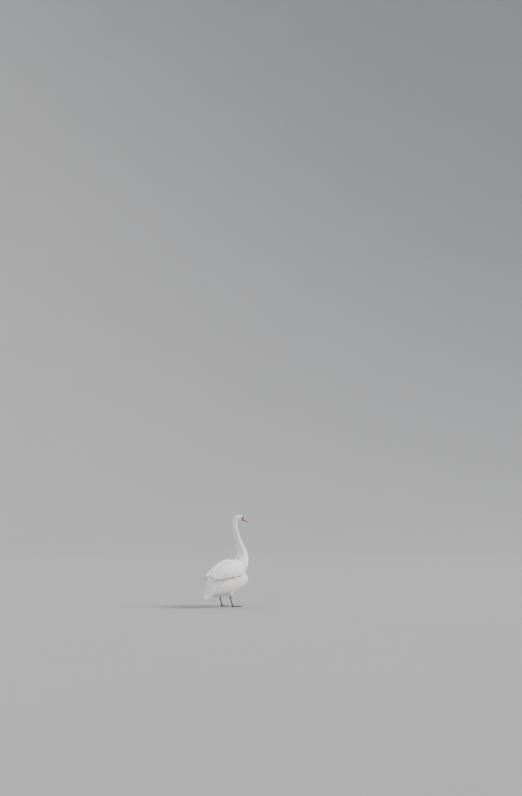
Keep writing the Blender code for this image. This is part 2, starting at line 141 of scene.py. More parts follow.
# (top x, top z, bottom x, bottom z, half width)
RUMP_RINGS = [
    (-0.150, 0.500, -0.150, 0.300, 0.118),
    (-0.200, 0.468, -0.190, 0.270, 0.112),
    (-0.250, 0.437, -0.230, 0.240, 0.106),
    (-0.288, 0.413, -0.262, 0.225, 0.096),
    (-0.314, 0.391, -0.285, 0.215, 0.080),
    (-0.333, 0.360, -0.305, 0.208, 0.064),
    (-0.343, 0.320, -0.320, 0.200, 0.052),
    (-0.349, 0.280, -0.331, 0.192, 0.048),
    (-0.353, 0.245, -0.340, 0.184, 0.047),
    (-0.357, 0.216, -0.348, 0.177, 0.046),
    (-0.3615, 0.190, -0.357, 0.169, 0.043),
    (-0.366, 0.166, -0.365, 0.156, 0.038),
]
TAIL_ROOT = (-0.270, 0.304)
TAIL_SLOPE = math.radians(52.0)
TAIL_SWING = math.radians(-8.0)
TAIL_LENGTH = 0.243
TAIL_HALF_WIDTH = 0.084
TAIL_DROOP = 0.016
TAIL_CLEAR = (0.10, 0.003, 0.074)    # from this far down, this close to the sheet, this wide
TAIL_FEATHERS = 24
TAIL_SPLIT = 6                       # feathers on the right that stand apart from the rest

# (z, x, half length, half width)
THIGH_RINGS = [
    (0.235, -0.012, 0.052, 0.036),
    (0.195, -0.022, 0.052, 0.036),
    (0.165, -0.034, 0.038, 0.030),
    (0.145, -0.042, 0.021, 0.020),
    (0.1345, -0.0455, 0.0125, 0.0120),
]
SHANK_RINGS = [
    (0.1500, -0.0440, 0.0095, 0.0088),
    (0.1342, -0.0455, 0.0105, 0.0095),
    (0.1260, -0.0460, 0.0130, 0.0115),
    (0.1140, -0.0425, 0.0105, 0.0098),
    (0.0980, -0.0360, 0.0078, 0.0068),
    (0.0600, -0.0215, 0.0072, 0.0062),
    (0.0350, -0.0105, 0.0082, 0.0075),
    (0.0203, -0.0050, 0.0105, 0.0100),
    (0.0080, -0.0040, 0.0110, 0.0105),
]
LEG_Y, LEG_AHEAD = 0.082, {1: -0.006, -1: 0.006}
TOES = [                             # (angle outward, length with its claw)
    (math.radians(-29.0), 0.118),
    (math.radians(4.0), 0.148),
    (math.radians(37.0), 0.136),
]
HIND_TOE = (math.pi, 0.046)
HEEL_X = -0.006
LEG_VOXEL, SOLE_SINK = 0.00105, 0.0002

SHIFT_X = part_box("trunk")[0][0] - TRUNK_RINGS[0][0]   # the figure's middle stands at the origin
SIDES = ((1, "left"), (-1, "right"))
random = np.random.default_rng(11)


# ---- numbers and turns ----
def between(table, at):
    """Rows of a table at fractional places: a Catmull-Rom curve through its rows."""
    table, at = np.asarray(table, float), np.asarray(at, float)
    padded = np.vstack([2 * table[0] - table[1], table, 2 * table[-1] - table[-2]])
    index = np.clip(np.floor(at).astype(int), 0, len(table) - 2)
    f = (at - index)[..., None]
    a, b, c, d = (padded[index + k] for k in range(4))
    return 0.5 * (2 * b + (c - a) * f + (2 * a - 5 * b + 4 * c - d) * f**2
                  + (3 * b - a - 3 * c + d) * f**3)


def columns_between(table, at):
    """The same, as one array for each column."""
    return np.moveaxis(between(table, at), -1, 0)


def ease(value, low, high):
    """0 below low, 1 above high and a smooth step between."""
    share = np.clip((value - low) / (high - low), 0, 1)
    return share * share * (3 - 2 * share)


def hump(value, middle, reach, power=2):
    """1 at the middle and soon 0 past its reach: e to the minus (distance / reach) to a power."""
    return np.exp(-((value - middle) / reach)**power)


def power_of(value, power):
    """A power that keeps the value's sign."""
    return np.sign(value) * np.abs(value)**power


def point_of(x, y, z):
    """Points from three coordinates, spread to one shape."""
    return np.stack(np.broadcast_arrays(x, y, z), axis=-1)


def unit(vectors):
    """Vectors divided by their lengths."""
    return vectors / np.linalg.norm(vectors, axis=-1, keepdims=True)


def dot(first, second):
    """Sum of the products of the coordinates."""
    return np.sum(first * second, axis=-1)


def rotated(x, y, angle):
    """Two distances after a turn by an angle from the first towards the second."""
    c, s = np.cos(angle), np.sin(angle)
    return x * c - y * s, x * s + y * c


def head_point(forward, up):
    """Head-frame distances in the upright plane of the body: a turn by the head's pitch."""
    x, z = rotated(forward, up, -HEAD_PITCH)
    return HEAD_CENTRE[0] + x, HEAD_CENTRE[1] + z


def turned(points):
    """Turn about an upright line by an angle that grows with height, then centre the figure."""
    angle = HEAD_TURN * ease(points[..., 2], TURN_FROM_Z, TURN_TO_Z)
    x, y = rotated(points[..., 0] - TURN_AXIS_X, points[..., 1], angle)
    return point_of(SHIFT_X + TURN_AXIS_X + x, y, points[..., 2])


def head_place(points):
    """The way back from a point to forward, sideways and up in the head's own frame."""
    x, side = rotated(points[..., 0] - SHIFT_X - TURN_AXIS_X, points[..., 1], -HEAD_TURN)
    forward, up = rotated(x + TURN_AXIS_X - HEAD_CENTRE[0], points[..., 2] - HEAD_CENTRE[1],
                          HEAD_PITCH)
    return point_of(forward, side, up)


def from_head(forward, side, up):
    """Points from forward, sideways and up in the head's own frame."""
    x, z = head_point(forward, up)
    return turned(point_of(x, side, z))


def path_rows(path):
    """Ring rows of a round tube: its centre moved by the radius to either side of its path."""
    path = np.asarray(path, float)
    along = unit(np.gradient(path[:, :2], axis=0))
    out = np.stack([-along[:, 1], along[:, 0]], axis=1) * path[:, 2:3]
    return np.hstack([path[:, :2] + out, path[:, :2] - out, path[:, 2:3]])


def ring_table():
    """Rings of the trunk, the neck and the head in one table, in the body's upright plane."""
    head = np.asarray(HEAD_RINGS, float)
    top, bottom = head_point(head[:, 0], head[:, 1]), head_point(head[:, 2], head[:, 3])
    return np.vstack([TRUNK_RINGS, path_rows(NECK_PATH),
                      np.column_stack([*top, *bottom, head[:, 4]])])


BODY_RINGS = ring_table()
NECK_AT = len(TRUNK_RINGS)                    # station numbers along the body
HEAD_AT = NECK_AT + len(NECK_PATH)
BILL_AT = len(BODY_RINGS) - 1
COAT_STATIONS = [0, 8, 13, NECK_AT - 1, NECK_AT + 3, HEAD_AT, HEAD_AT + 2, BILL_AT - 1, BILL_AT]
COAT_DEPTHS = [0.010, 0.013, 0.011, 0.009, 0.006, 0.0045, 0.0024, 0.0014, 0.0004]


def coat_depth(at):
    """Depth of the coat at a station, straight between the given ones."""
    return np.interp(at, COAT_STATIONS, COAT_DEPTHS)


# ---- meshes from arrays ----
def tube_faces(rings, sides, start=0, loop=False):
    """Triangles over a stack of closed rings; in a loop the last ring meets the first."""
    i, j = np.meshgrid(np.arange(rings if loop else rings - 1), np.arange(sides), indexing="ij")
    n, k = (i + 1) % rings, (j + 1) % sides
    a, b, c, d = i * sides + j, i * sides + k, n * sides + k, n * sides + j
    return np.stack([a, b, c, a, c, d], axis=-1).reshape(-1, 3) + start


def capped_faces(rings, sides):
    """Triangles over a stack of rings, with fans to its two end points, which come last."""
    j = np.arange(sides)
    k, near, far = (j + 1) % sides, 0 * j + rings * sides, (rings - 1) * sides
    return np.vstack([tube_faces(rings, sides), np.stack([near, k, j], axis=-1),
                      np.stack([near + 1, far + j, far + k], axis=-1)])


def outward(points, faces):
    """The faces, turned over where the volume that they close comes out negative."""
    a, b, c = (points[faces[:, n]] - points.mean(axis=0) for n in range(3))
    return faces[:, ::-1] if dot(a, np.cross(b, c)).sum() < 0 else faces


def closed_tube(rings):
    """Points and triangles of a stack of rings, each end drawn together at its middle."""
    points = np.vstack([rings.reshape(-1, 3), rings[0].mean(axis=0), rings[-1].mean(axis=0)])
    return points, outward(points, capped_faces(*rings.shape[:2]))


def ring_grid(stations, sides):
    """Two grids: stations along a tube, and angles all the way round it."""
    return np.meshgrid(stations, np.linspace(0, 2 * np.pi, sides, endpoint=False), indexing="ij")


def heaped(parts):
    """Points and faces of several closed parts in one heap."""
    starts = np.cumsum([0, *(len(points) for points, _ in parts[:-1])])
    return (np.vstack([points for points, _ in parts]),
            np.vstack([faces + start for (_, faces), start in zip(parts, starts)]))


def plain_object(name, points, faces):
    """A mesh object from points and triangles."""
    mesh = bpy.data.meshes.new(name)
    mesh.from_pydata(np.asarray(points, np.float32), [], faces)
    obj = bpy.data.objects.new(name, mesh)
    bpy.context.scene.collection.objects.link(obj)
    return obj


def shown(obj, finish, stands_for=()):
    """An object dressed in its finish and riding on the swan."""
    obj.data.materials.clear()
    obj.data.materials.append(finish)
    obj.data.shade_smooth()
    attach(obj, "root")
    if stands_for:
        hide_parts(*stands_for)
    return obj


def make_piece(name, points, faces, finish, slot, stands_for=()):
    """A piece from points and triangles, dressed in its finish."""
    return shown(plain_object(name, points, faces), finish, stands_for)


def as_modified(name, base, helpers=()):
    """An object with the mesh that a base's modifiers give; base and helpers leave the scene."""
    evaluated = base.evaluated_get(bpy.context.evaluated_depsgraph_get())
    obj = bpy.data.objects.new(name, bpy.data.meshes.new_from_object(evaluated))
    for helper in (base, *helpers):
        bpy.data.objects.remove(helper, do_unlink=True)
    bpy.context.scene.collection.objects.link(obj)
    obj.data.name = name
    return obj


def united(name, parts):
    """One closed skin from several closed parts, by union."""
    base, *helpers = [plain_object("part", *part) for part in parts]
    for helper in helpers:
        join = base.modifiers.new("join", "BOOLEAN")
        join.operation, join.solver, join.object = "UNION", "MANIFOLD", helper
    return as_modified(name, base, helpers)


def grown(name, parts, voxel):
    """One skin over overlapping closed parts, grown over them by voxels and softened."""
    base = plain_object("part", *heaped(parts))
    grow = base.modifiers.new("grow", "REMESH")
    grow.mode, grow.voxel_size = "VOXEL", voxel
    soften = base.modifiers.new("soften", "SMOOTH")
    soften.factor, soften.iterations = 0.5, 2
    return as_modified(name, base)


def points_of(mesh):
    """A mesh's vertices as rows of an array."""
    points = np.empty(len(mesh.vertices) * 3, np.float32)
    mesh.vertices.foreach_get("co", points)
    return points.reshape(-1, 3)


def add_map(mesh, name, places):
    """A UV map from one place for each vertex."""
    corners = np.empty(len(mesh.loops), np.int32)
    mesh.loops.foreach_get("vertex_index", corners)
    layer = mesh.uv_layers.new(name=name)
    layer.data.foreach_set("uv", np.asarray(places, np.float32)[corners].ravel())


def add_value(mesh, name, values):
    """An attribute from one number, or one triple, for each vertex."""
    values = np.asarray(values, np.float32)
    kind, key = ("FLOAT_VECTOR", "vector") if values.ndim == 2 else ("FLOAT", "value")
    mesh.attributes.new(name, kind, "POINT").data.foreach_set(key, values.ravel())


# ---- surfaces of two parameters ----
class Surface:
    """A point for each pair of parameters, with slopes, an outward normal and the coat's lie."""

    def __init__(self, point, outward=1.0, lie=1.0, step=(0.01, 0.01)):
        self.point, self.outward, self.lie, self.step = point, outward, lie, step

    def frame(self, u, v):
        """Slopes by central differences; the normal is their cross product, turned outward."""
        du, dv = self.step
        along = (self.point(u + du, v) - self.point(u - du, v)) / (2 * du)
        across = (self.point(u, v + dv) - self.point(u, v - dv)) / (2 * dv)
        normal = np.cross(along, across) * self.outward
        normal /= np.maximum(np.linalg.norm(normal, axis=-1, keepdims=True), 1e-12)
        return along, across, normal

    def raised(self, u, v, height):
        """The point moved along the normal by a height."""
        return self.point(u, v) + self.frame(u, v)[2] * np.asarray(height)[..., None]

    def tube(self, stations, sides, height):
        """A closed tube whose height over the surface is a function of station and angle."""
        grid = ring_grid(stations, sides)
        return closed_tube(self.raised(*grid, height(*grid)))


def ring_point(rows, up, side):
    """A place on a ring row: its middle, half axes times up, and half width times side."""
    back_x, back_z, belly_x, belly_z, half = np.moveaxis(rows, -1, 0)
    return point_of((back_x + belly_x) / 2 + (back_x - belly_x) / 2 * up, half * side,
                    (back_z + belly_z) / 2 + (back_z - belly_z) / 2 * up)


def body_point(at, angle):
    """Ring `at`, at an angle from the back over the left side: a squared ellipse on the ring."""
    power = 2.0 / (2.0 + 0.25 * (1 - ease(at, 8, NECK_AT - 2)))
    return turned(ring_point(between(BODY_RINGS, at), power_of(np.cos(angle), power),
                             power_of(np.sin(angle), power)))


def rump_point(at, angle):
    """A soft hump that fills the space between the wings' tips and the tail's root."""
    return ring_point(between(RUMP_RINGS, at), np.cos(angle), np.sin(angle)) + (SHIFT_X, 0, 0)


def wing_point(side):
    def point(at, share):
        """Section `at` from the wrist to the tip, at a share of the arch from back to margin.

        The arch is a superellipse, lowered by a trough along the middle of the back.
        """
        x, crest, widest, half, margin, inner = columns_between(WING_SECTIONS, at)
        height, power = crest - widest, 2.0 / WING_SQUARENESS
        first = np.arcsin(np.clip(inner / half, 0, 1)**(1 / power))
        last = np.pi / 2 + np.arcsin(np.clip((widest - margin) / height, 0, 0.8)**(1 / power))
        angle = first + (last - first) * share
        y = half * power_of(np.sin(angle), power)
        trough = WING_TROUGH * hump(y, 0, WING_TROUGH_HALF)
        return point_of(x + SHIFT_X, y * side,
                        widest + height * power_of(np.cos(angle), power) - trough)
    return point


def tip_wall(side):
    def point(at, down):
        """The inner side of the folded wing's end: from its inner edge down and a little out."""
        _, crest, _, _, margin, _ = columns_between(WING_SECTIONS, at)
        edge = wing_point(side)(at, np.full(np.shape(at), 0.02))
        fall = point_of(0, 0.14 * side * (crest - margin), margin - crest + 0.012)
        return edge + fall * np.asarray(down)[..., None]
    return point


def tail_point(out, y):
    """A sloping sheet, out metres from its root and y from its middle, whose sides hang."""
    lift = -TAIL_DROOP * (y / TAIL_HALF_WIDTH)**2
    out, y = rotated(out, y, TAIL_SWING)
    x, z = rotated(-out, lift, TAIL_SLOPE)
    return point_of(TAIL_ROOT[0] + x + SHIFT_X, y, TAIL_ROOT[1] + z)


def shoulder_point(side):
    def point(turn, around):
        """An ellipsoid that fills the hollow between the neck's base and the wing's wrist."""
        centre, radii = SHOULDER_CENTRE, SHOULDER_RADII
        return point_of(SHIFT_X + centre[0] + radii[0] * np.cos(turn),
                        (centre[1] + radii[1] * np.sin(turn) * np.cos(around)) * side,
                        centre[2] + radii[2] * np.sin(turn) * np.sin(around))
    return point


def leg_surface(ring_rows, side):
    def point(at, angle):
        """Level ring `at` down the leg, an ellipse at an angle from the front."""
        z, x, half_length, half_width = columns_between(ring_rows, at)
        return point_of(x + LEG_AHEAD[side] + SHIFT_X + half_length * np.cos(angle),
                        LEG_Y * side + half_width * np.sin(angle), z)
    return Surface(point)


body = Surface(body_point, 1.0, -1.0, (0.02, 0.01))
rump = Surface(rump_point, -1.0, 1.0, (0.02, 0.01))
tail_top, tail_under = (Surface(tail_point, way, 1.0, (0.001, 0.001)) for way in (-1.0, 1.0))
wings = {s: Surface(wing_point(s), -float(s), 1.0, (0.01, 0.004)) for s in (1, -1)}
tip_walls = {s: Surface(tip_wall(s), float(s)) for s in (1, -1)}
shoulders = {s: Surface(shoulder_point(s), float(s)) for s in (1, -1)}
thighs = {s: leg_surface(THIGH_RINGS, s) for s in (1, -1)}


# ---- feathers ----
class Vane:
    """The form of one feather: a closed lens with rows along it and points across.

    `along` is 0 at the root and 1 at the tip, `across` runs from -1 to 1 over the row's own
    width, `reach` is that width's share of the widest, and `face` is 1 above and -1 below. The
    root and the tip come after the rows' points.
    """

    def __init__(self, rows, points, tip, widest, root=0.45):
        top, flat = np.linspace(-1, 1, points), np.ones(points - 2)
        ring, face = np.concatenate([top, top[-2:0:-1]]), np.concatenate([[0], flat, [0], -flat])
        rows, count, sides = np.asarray(rows), len(rows), len(ring)
        self.stops = np.concatenate([[0.0], rows, [1.0]])
        self.along = np.append(np.repeat(rows, sides), [0.0, 1.0])
        self.across = np.append(np.tile(ring, count), [0.0, 0.0])
        self.reach = np.append(np.repeat(self.outline(rows, tip, widest, root), sides), [0.0, 0.0])
        self.face = np.append(np.tile(face, count), [0.0, 0.0])
        self.row = np.append(np.repeat(np.arange(1, count + 1), sides), [0, count + 1])
        # rings run over the top and back below, so the faces are turned over to look outward
        self.faces = capped_faces(count, sides)[:, ::-1]
        self.size = count * sides + 2

    @staticmethod
    def outline(along, tip, widest, root):
        """Widening as a root's power up to the widest place, then a superellipse to the tip."""
        rise = np.clip(along / widest, 0, 1)**root
        fall = np.clip((along - widest) / (1 - widest), 0, 1)
        return rise * (1 - fall**tip)**(1 / tip)


SMALL = Vane([0.30, 0.64, 0.88], 3, tip=1.9, widest=0.58, root=0.6)
MIDDLE = Vane([0.18, 0.42, 0.66, 0.84, 0.95], 5, tip=2.6, widest=0.6)
LARGE = Vane([0.06, 0.18, 0.32, 0.46, 0.60, 0.73, 0.83, 0.91, 0.97], 7, tip=2.4, widest=0.6)
QUILL = Vane([0.03, 0.08, 0.16, 0.26, 0.38, 0.5, 0.62, 0.73, 0.82, 0.89, 0.94, 0.98], 9, tip=2.2,
             widest=0.62, root=0.3)
VANE_RIM_ANGLE = math.radians(50.0)  # sharper than this, two faces meet at a vane's thin rim
SHAFT_WIDTH, SHAFT_RISE = 0.15, 0.6   # as shares of a vane's half width and thickness
PATCH = 0.003                        # a feather's patch on the unwrap


def ways_at(surface, u, v):
    """Slopes, normal and the unit way in which the coat lies."""
    along, across, normal = surface.frame(u, v)
    return along, across, normal, unit(surface.lie * along)


def lay(surface, form, u, v, length, width, low, high, swing, thick, bow, tilt=0.0):
    """Points of one feather at each (u, v), as feathers x form points x 3.

    A spine is stepped over the surface from the root, keeping its heading; each row's points lie
    across it. Height goes from low to high as a power of the way along, a lens gives thickness,
    a ridge the shaft, and a tilt lifts one edge over the next feather.
    """
    u, v, length, width, low, high, swing, thick, tilt = np.broadcast_arrays(
        u, v, length, width, low, high, swing, thick, tilt)
    spine, sideways, heading = [], [], None
    for k, stop in enumerate(form.stops):
        along, across, normal, lie = ways_at(surface, u, v)
        if heading is None:
            heading = lie * np.cos(swing)[:, None] + np.cross(normal, lie) * np.sin(swing)[:, None]
        heading = unit(heading - normal * dot(heading, normal)[:, None])
        aa, bb, ab = dot(along, along), dot(across, across), dot(along, across)
        det = np.maximum(aa * bb - ab * ab, 1e-14)
        steps = []
        for way in (heading, np.cross(normal, heading)):
            a, b = dot(way, along), dot(way, across)
            steps.append(((bb * a - ab * b) / det, (aa * b - ab * a) / det))
        spine.append((u, v))
        sideways.append(steps[1])
        if stop < 1:
            step = length * (form.stops[k + 1] - stop)
            u, v = u + steps[0][0] * step, v + steps[0][1] * step
    spine, sideways = np.array(spine), np.array(sideways)          # rows x 2 x feathers
    offset = form.across * form.reach * width[:, None] / 2
    uu = spine[form.row, 0].T + sideways[form.row, 0].T * offset
    vv = spine[form.row, 1].T + sideways[form.row, 1].T * offset
    low, high, thick, tilt = (value[:, None] for value in (low, high, thick, tilt))
    lens = form.face * (1 - form.across**2) * form.reach**0.5
    shaft = SHAFT_RISE * hump(form.across, 0, SHAFT_WIDTH) * np.abs(form.face)
    height = (high - (high - low) * (1 - form.along)**bow + tilt * form.across * form.reach
              + thick * (lens + shaft))
    return surface.raised(uu, vv, height)


def aimed(surface, u, v, end_u, end_v):
    """Length and swing that take a feather from (u, v) to (end_u, end_v) on its surface."""
    _, _, normal, lie = ways_at(surface, u, v)
    way = surface.point(end_u, end_v) - surface.point(u, v)
    return (np.linalg.norm(way, axis=-1) * 1.02,
            np.arctan2(dot(way, np.cross(normal, lie)), dot(way, lie)))


def rows_over(surface, start, end, spacing, gap_across, span=(0.0, 2 * np.pi)):
    """Staggered places over a surface: rows a spacing apart, thinned where the rows crowd.

    The spacing and the gap are functions of the row.
    """
    us, vs = [], []
    u, odd = start, 0
    test = np.linspace(*span, 33)[:-1]
    while (u < end) if end > start else (u > end):
        along, across, _ = surface.frame(np.full(32, u), test)
        pace, arc = np.linalg.norm(along, axis=-1), np.linalg.norm(across, axis=-1)
        number = max(int(arc.mean() * (span[1] - span[0]) / gap_across(u)), 3)
        cuts = np.append(0, np.cumsum(arc)) / arc.sum()
        share = (np.arange(number) + 0.5 * odd + random.normal(0, 0.13, number)) / number
        v = np.interp(share % 1.0, cuts, np.append(test, span[1]))
        crowd = np.interp(v, test, pace) / pace.max()
        keep = random.random(number) < np.maximum(crowd * 1.15, 0.3)
        us.append(np.full(number, u)[keep])
        vs.append(v[keep])
        u += np.sign(end - start) * spacing(u) / pace.max()
        odd = 1 - odd
    return np.concatenate(us), np.concatenate(vs)


def even(value):
    """A spacing that is the same for every row."""
    return lambda u: value


class Coat:
    """Feathers gathered into one mesh, with their patches, vane places and tones."""

    def __init__(self):
        self.points, self.faces, self.count = [], [], 0
        self.patch, self.vane, self.tone = [], [], []

    def add(self, form, points, places):
        """Each feather's patch is a small square at its root's place on the unwrap.

        A feather twice as long as its fellows has slipped off its surface and is left out.
        """
        length = np.linalg.norm(np.ptp(points, axis=1), axis=-1)
        kept = length < 2.0 * np.median(length)
        points, places = points[kept], places[kept]
        number = len(points)
        start = self.count + np.arange(number)[:, None, None] * form.size
        self.points.append(points.reshape(-1, 3))
        self.faces.append((form.faces[None] + start).reshape(-1, 3))
        local = np.stack([form.across * form.reach, 2 * form.along - 1], axis=-1) / 2
        self.patch.append((places[:, None, :] + local * PATCH).reshape(-1, 2))
        vane = np.stack([(form.across * form.reach + 1) / 2, form.along], axis=-1)
        self.vane.append(np.tile(vane, (number, 1)))
        self.tone.append(np.repeat(random.random(number), form.size))
        self.count += number * form.size

    def build(self, name, finish, stands_for=()):
        """The gathered feathers as one piece with its maps and tones."""
        obj = make_piece(name, np.vstack(self.points), np.vstack(self.faces), finish, "plumage",
                         stands_for)
        obj.data.set_sharp_from_angle(angle=VANE_RIM_ANGLE)
        add_map(obj.data, "OFBake", np.vstack(self.patch))
        add_map(obj.data, "Vane", np.vstack(self.vane))
        add_value(obj.data, "tone", np.concatenate(self.tone))


def unwrap(along, around):
    """Places on the unwrap's square, from two shares and with a margin of 0.02."""
    return 0.02 + 0.96 * np.stack([np.clip(along, 0, 1), around], axis=-1)


def round_share(angle):
    """An angle as a share of a full turn."""
    return angle / (2 * np.pi) % 1.0


# ---- coat of the body, the thighs, the shoulders and the rump ----
def under_wing(points):
    """True where a folded wing hides the body: well above its lower margin."""
    x, _, _, _, margin, _ = np.asarray(WING_SECTIONS)[::-1].T
    at = points[..., 0] - SHIFT_X
    back, front, above = WING_HIDES
    return (at > back) & (at < front) & (points[..., 2] > np.interp(at, x, margin) + above)


def over_tail(points):
    """True where a point stands above the tail's sheet, past its first stretch."""
    inward, height = rotated(points[..., 0] - SHIFT_X - TAIL_ROOT[0],
                             points[..., 2] - TAIL_ROOT[1], -TAIL_SLOPE)
    height = height + TAIL_DROOP * (points[..., 1] / TAIL_HALF_WIDTH)**2
    down, close, half = TAIL_CLEAR
    return (inward < -down) & (height > -close) & (np.abs(points[..., 1]) < half)


def lores_edges(forward, up):
    """Distances inside the wedge of bare skin before the eye, from its top, low and back sides."""
    ahead = forward - LORES_BACK
    return (ahead * LORES_TOP[1] + LORES_TOP[0] - up, up - LORES_LOW[0] - ahead * LORES_LOW[1],
            ahead)


def bare_face(place):
    """The least of the three distances: above 0 on the bare lores."""
    return np.min(lores_edges(place[..., 0], place[..., 2]), axis=0)


def feathered(at, angle):
    """False on the bare lores and in the eye's opening."""
    place = head_place(body.point(at, angle))
    eye = np.hypot((place[:, 0] - EYE_PLACE[0]) / 1.15, place[:, 2] - EYE_PLACE[2])
    return ((eye > EYE_OPENING) | (np.abs(place[:, 1]) < 0.012)) & (bare_face(place) < -0.0006)


def table_of(*pairs):
    """A quantity that follows the stations, straight between the given ones."""
    stations, values = zip(*pairs)
    return lambda at: np.interp(at, stations, values)


# the coat along the body: feather length and width at its stations
BODY_LENGTH = table_of((0, 0.050), (3, 0.058), (6, 0.054), (9, 0.040), (12, 0.032), (15, 0.026),
                       (19, 0.022), (22, 0.016), (25, 0.0115), (27, 0.0085), (29, 0.0058),
                       (32, 0.0038))
BODY_WIDTH = table_of((0, 0.030), (3, 0.034), (6, 0.032), (9, 0.023), (12, 0.0170), (15, 0.0120),
                      (19, 0.0092), (22, 0.0068), (25, 0.0050), (27, 0.0038), (29, 0.0027),
                      (32, 0.0018))
# (part, stations from and to, spacing and gap as shares of length and width, swing, thickness)
SMALL_COATS = [
    ("neck_base", 18.2, 11.7, 0.22, 0.45, 0.09, 0.00030),
    ("neck_middle", 22.6, 18.0, 0.22, 0.45, 0.09, 0.00020),
    ("neck_upper", 27.2, 22.4, 0.22, 0.45, 0.09, 0.00014),
    ("head", 31.95, 26.9, 0.27, 0.56, 0.10, 0.00010),
]


def rows_over_body(start, end, spacing, gap):
    """Places whose gaps are shares of the feathers' length and width there."""
    return rows_over(body, start, end, lambda at: spacing * BODY_LENGTH(at),
                     lambda at: gap * BODY_WIDTH(at))


def body_coat(name, finish, form, at, angle, swing, lift, thick):
    """Feathers rooted at body places, drawn in by a share of the coat's depth at the root."""
    number, depth = len(at), coat_depth(at)
    length = BODY_LENGTH(at) * (1 + random.normal(0, 0.07, number))
    width = BODY_WIDTH(at) * (1 + random.normal(0, 0.07, number))
    points = lay(body, form, at, angle, length, width, -(0.95 - 0.30 * ease(at, 10, 18)) * depth,
                 lift * depth * random.random(number), random.normal(0, swing, number), thick, 2.3)
    kept = ~over_tail(points).any(axis=1)
    coat = Coat()
    coat.add(form, points[kept], unwrap(at / BILL_AT, round_share(angle))[kept])
    coat.build("coat_" + name, finish)


def body_coats(finish):
    """Belly, flanks and breast as a left and a right piece, then the neck's parts and the head."""
    at, angle = rows_over_body(11.9, 0.15, 0.27, 0.42)
    for side, word in SIDES:
        kept = (np.sin(angle) * side > 0) & ~under_wing(body.point(at, angle))
        body_coat("trunk_" + word, finish, MIDDLE, at[kept], angle[kept], 0.08, 0.030, 0.0008)
    for part, start, end, spacing, gap, swing, thick in SMALL_COATS:
        at, angle = rows_over_body(start, end, spacing, gap)
        kept = feathered(at, angle)
        body_coat(part, finish, SMALL, at[kept], angle[kept], swing, 0.015, thick)


def thigh_coats(finish):
    """Short feathers that hang down over the thighs to just above the bare shanks."""
    for side, word in SIDES:
        at, angle = rows_over(thighs[side], 3.75, 0.4, even(0.007), even(0.0085))
        number = len(at)
        small = 0.55 + 0.45 * ease(4 - at, 0, 1.6)
        sunk = -0.014 * (1 - ease(at, 0.4, 2.3))
        coat = Coat()
        coat.add(SMALL, lay(thighs[side], SMALL, at, angle, 0.030 * small, 0.016 * small,
                            sunk - 0.004 * small, sunk + 0.0003 * random.random(number),
                            random.normal(0, 0.12, number), 0.0007, 3.0),
                 unwrap(at / 4, round_share(angle)))
        coat.build("coat_thigh_" + word, finish)


def rump_coat(finish):
    """Feathers over the rump's upper side, shorter towards its lower end."""
    coat = Coat()
    at, angle = rows_over(rump, 8.6, 0.6, even(0.013), even(0.0150))
    upper = np.cos(angle) > 0.50 * ease(at, 4.5, 6.5) - 0.45
    at, angle = at[upper], angle[upper]
    number = len(at)
    length = (0.058 - 0.024 * ease(at, 4, 7.5)) * (1 + random.normal(0, 0.07, number))
    coat.add(MIDDLE, lay(rump, MIDDLE, at, angle, length, 0.56 * length, -0.008,
                         0.0003 * random.random(number), random.normal(0, 0.08, number), 0.0004,
                         2.2), unwrap(at / 9, round_share(angle)))
    coat.build("coat_rump", finish)


def shoulder_coats(finish):
    """Short feathers over the ellipsoids at the wings' wrists."""
    coat = Coat()
    for side in (1, -1):
        at, angle = rows_over(shoulders[side], 0.25, 1.9, even(0.007), even(0.009))
        number = len(at)
        coat.add(SMALL, lay(shoulders[side], SMALL, at, angle, 0.028, 0.015, -0.006,
                            0.0003 * random.random(number), random.normal(0, 0.1, number), 0.0003,
                            1.8), unwrap(at / 3.2, 0.24 + 0.25 * side + 0.24 * round_share(angle)))
    coat.build("coat_shoulders", finish)


# ---- wings: rows of coverts, then the long feathers that end at the rear margin ----
ROW_SLANT = 1.1        # rows of coverts lie this many sections further back at the top
# (first section, last section, row spacing, gap across, length, width, height, form)
COVERT_ROWS = [
    (-1.10, 2.35, 0.0105, 0.0125, 0.036, 0.023, 0.0000, MIDDLE),
    (2.35, 3.15, 0.0200, 0.0170, 0.058, 0.032, -0.0006, MIDDLE),
    (3.15, 3.95, 0.0330, 0.0220, 0.086, 0.040, -0.0014, LARGE),
    (3.95, 4.75, 0.0520, 0.0250, 0.120, 0.044, -0.0026, LARGE),
]
# scapulars over the back: (section, shares from and to, number, length, width)
SCAPULAR_ROWS = [
    (0.6, 0.00, 0.34, 7, 0.045, 0.030), (1.1, 0.03, 0.36, 7, 0.050, 0.032),
    (1.6, 0.00, 0.36, 7, 0.058, 0.036), (2.05, 0.03, 0.37, 7, 0.068, 0.039),
    (2.5, 0.00, 0.37, 7, 0.080, 0.042), (2.95, 0.03, 0.37, 6, 0.095, 0.045),
    (3.4, 0.00, 0.36, 6, 0.112, 0.048), (3.9, 0.03, 0.34, 5, 0.130, 0.051),
    (4.4, 0.01, 0.31, 5, 0.150, 0.054),
]
# tertials, secondaries and primaries, each lying under the one nearer the back:
# (shares from and to, number, first section, last sections, last shares, widths, height, fall)
LONG_ROWS = [
    (0.03, 0.46, 9, 5.0, (9.25, 8.7), (0.10, 0.52), (0.056, 0.048), 0.0006, 0.00060),
    (0.40, 0.985, 15, 4.2, (9.1, 7.3), (0.48, 0.965), (0.042, 0.036), -0.0044, 0.00030),
    (0.26, 0.86, 10, 6.0, (10.35, 9.5), (0.02, 0.80), (0.034, 0.030), -0.0088, 0.00030),
]


def wing_places(at, share):
    """Places on the unwrap from a wing's section and share."""
    return unwrap(at / (len(WING_SECTIONS) - 1), np.clip(share, 0, 1))


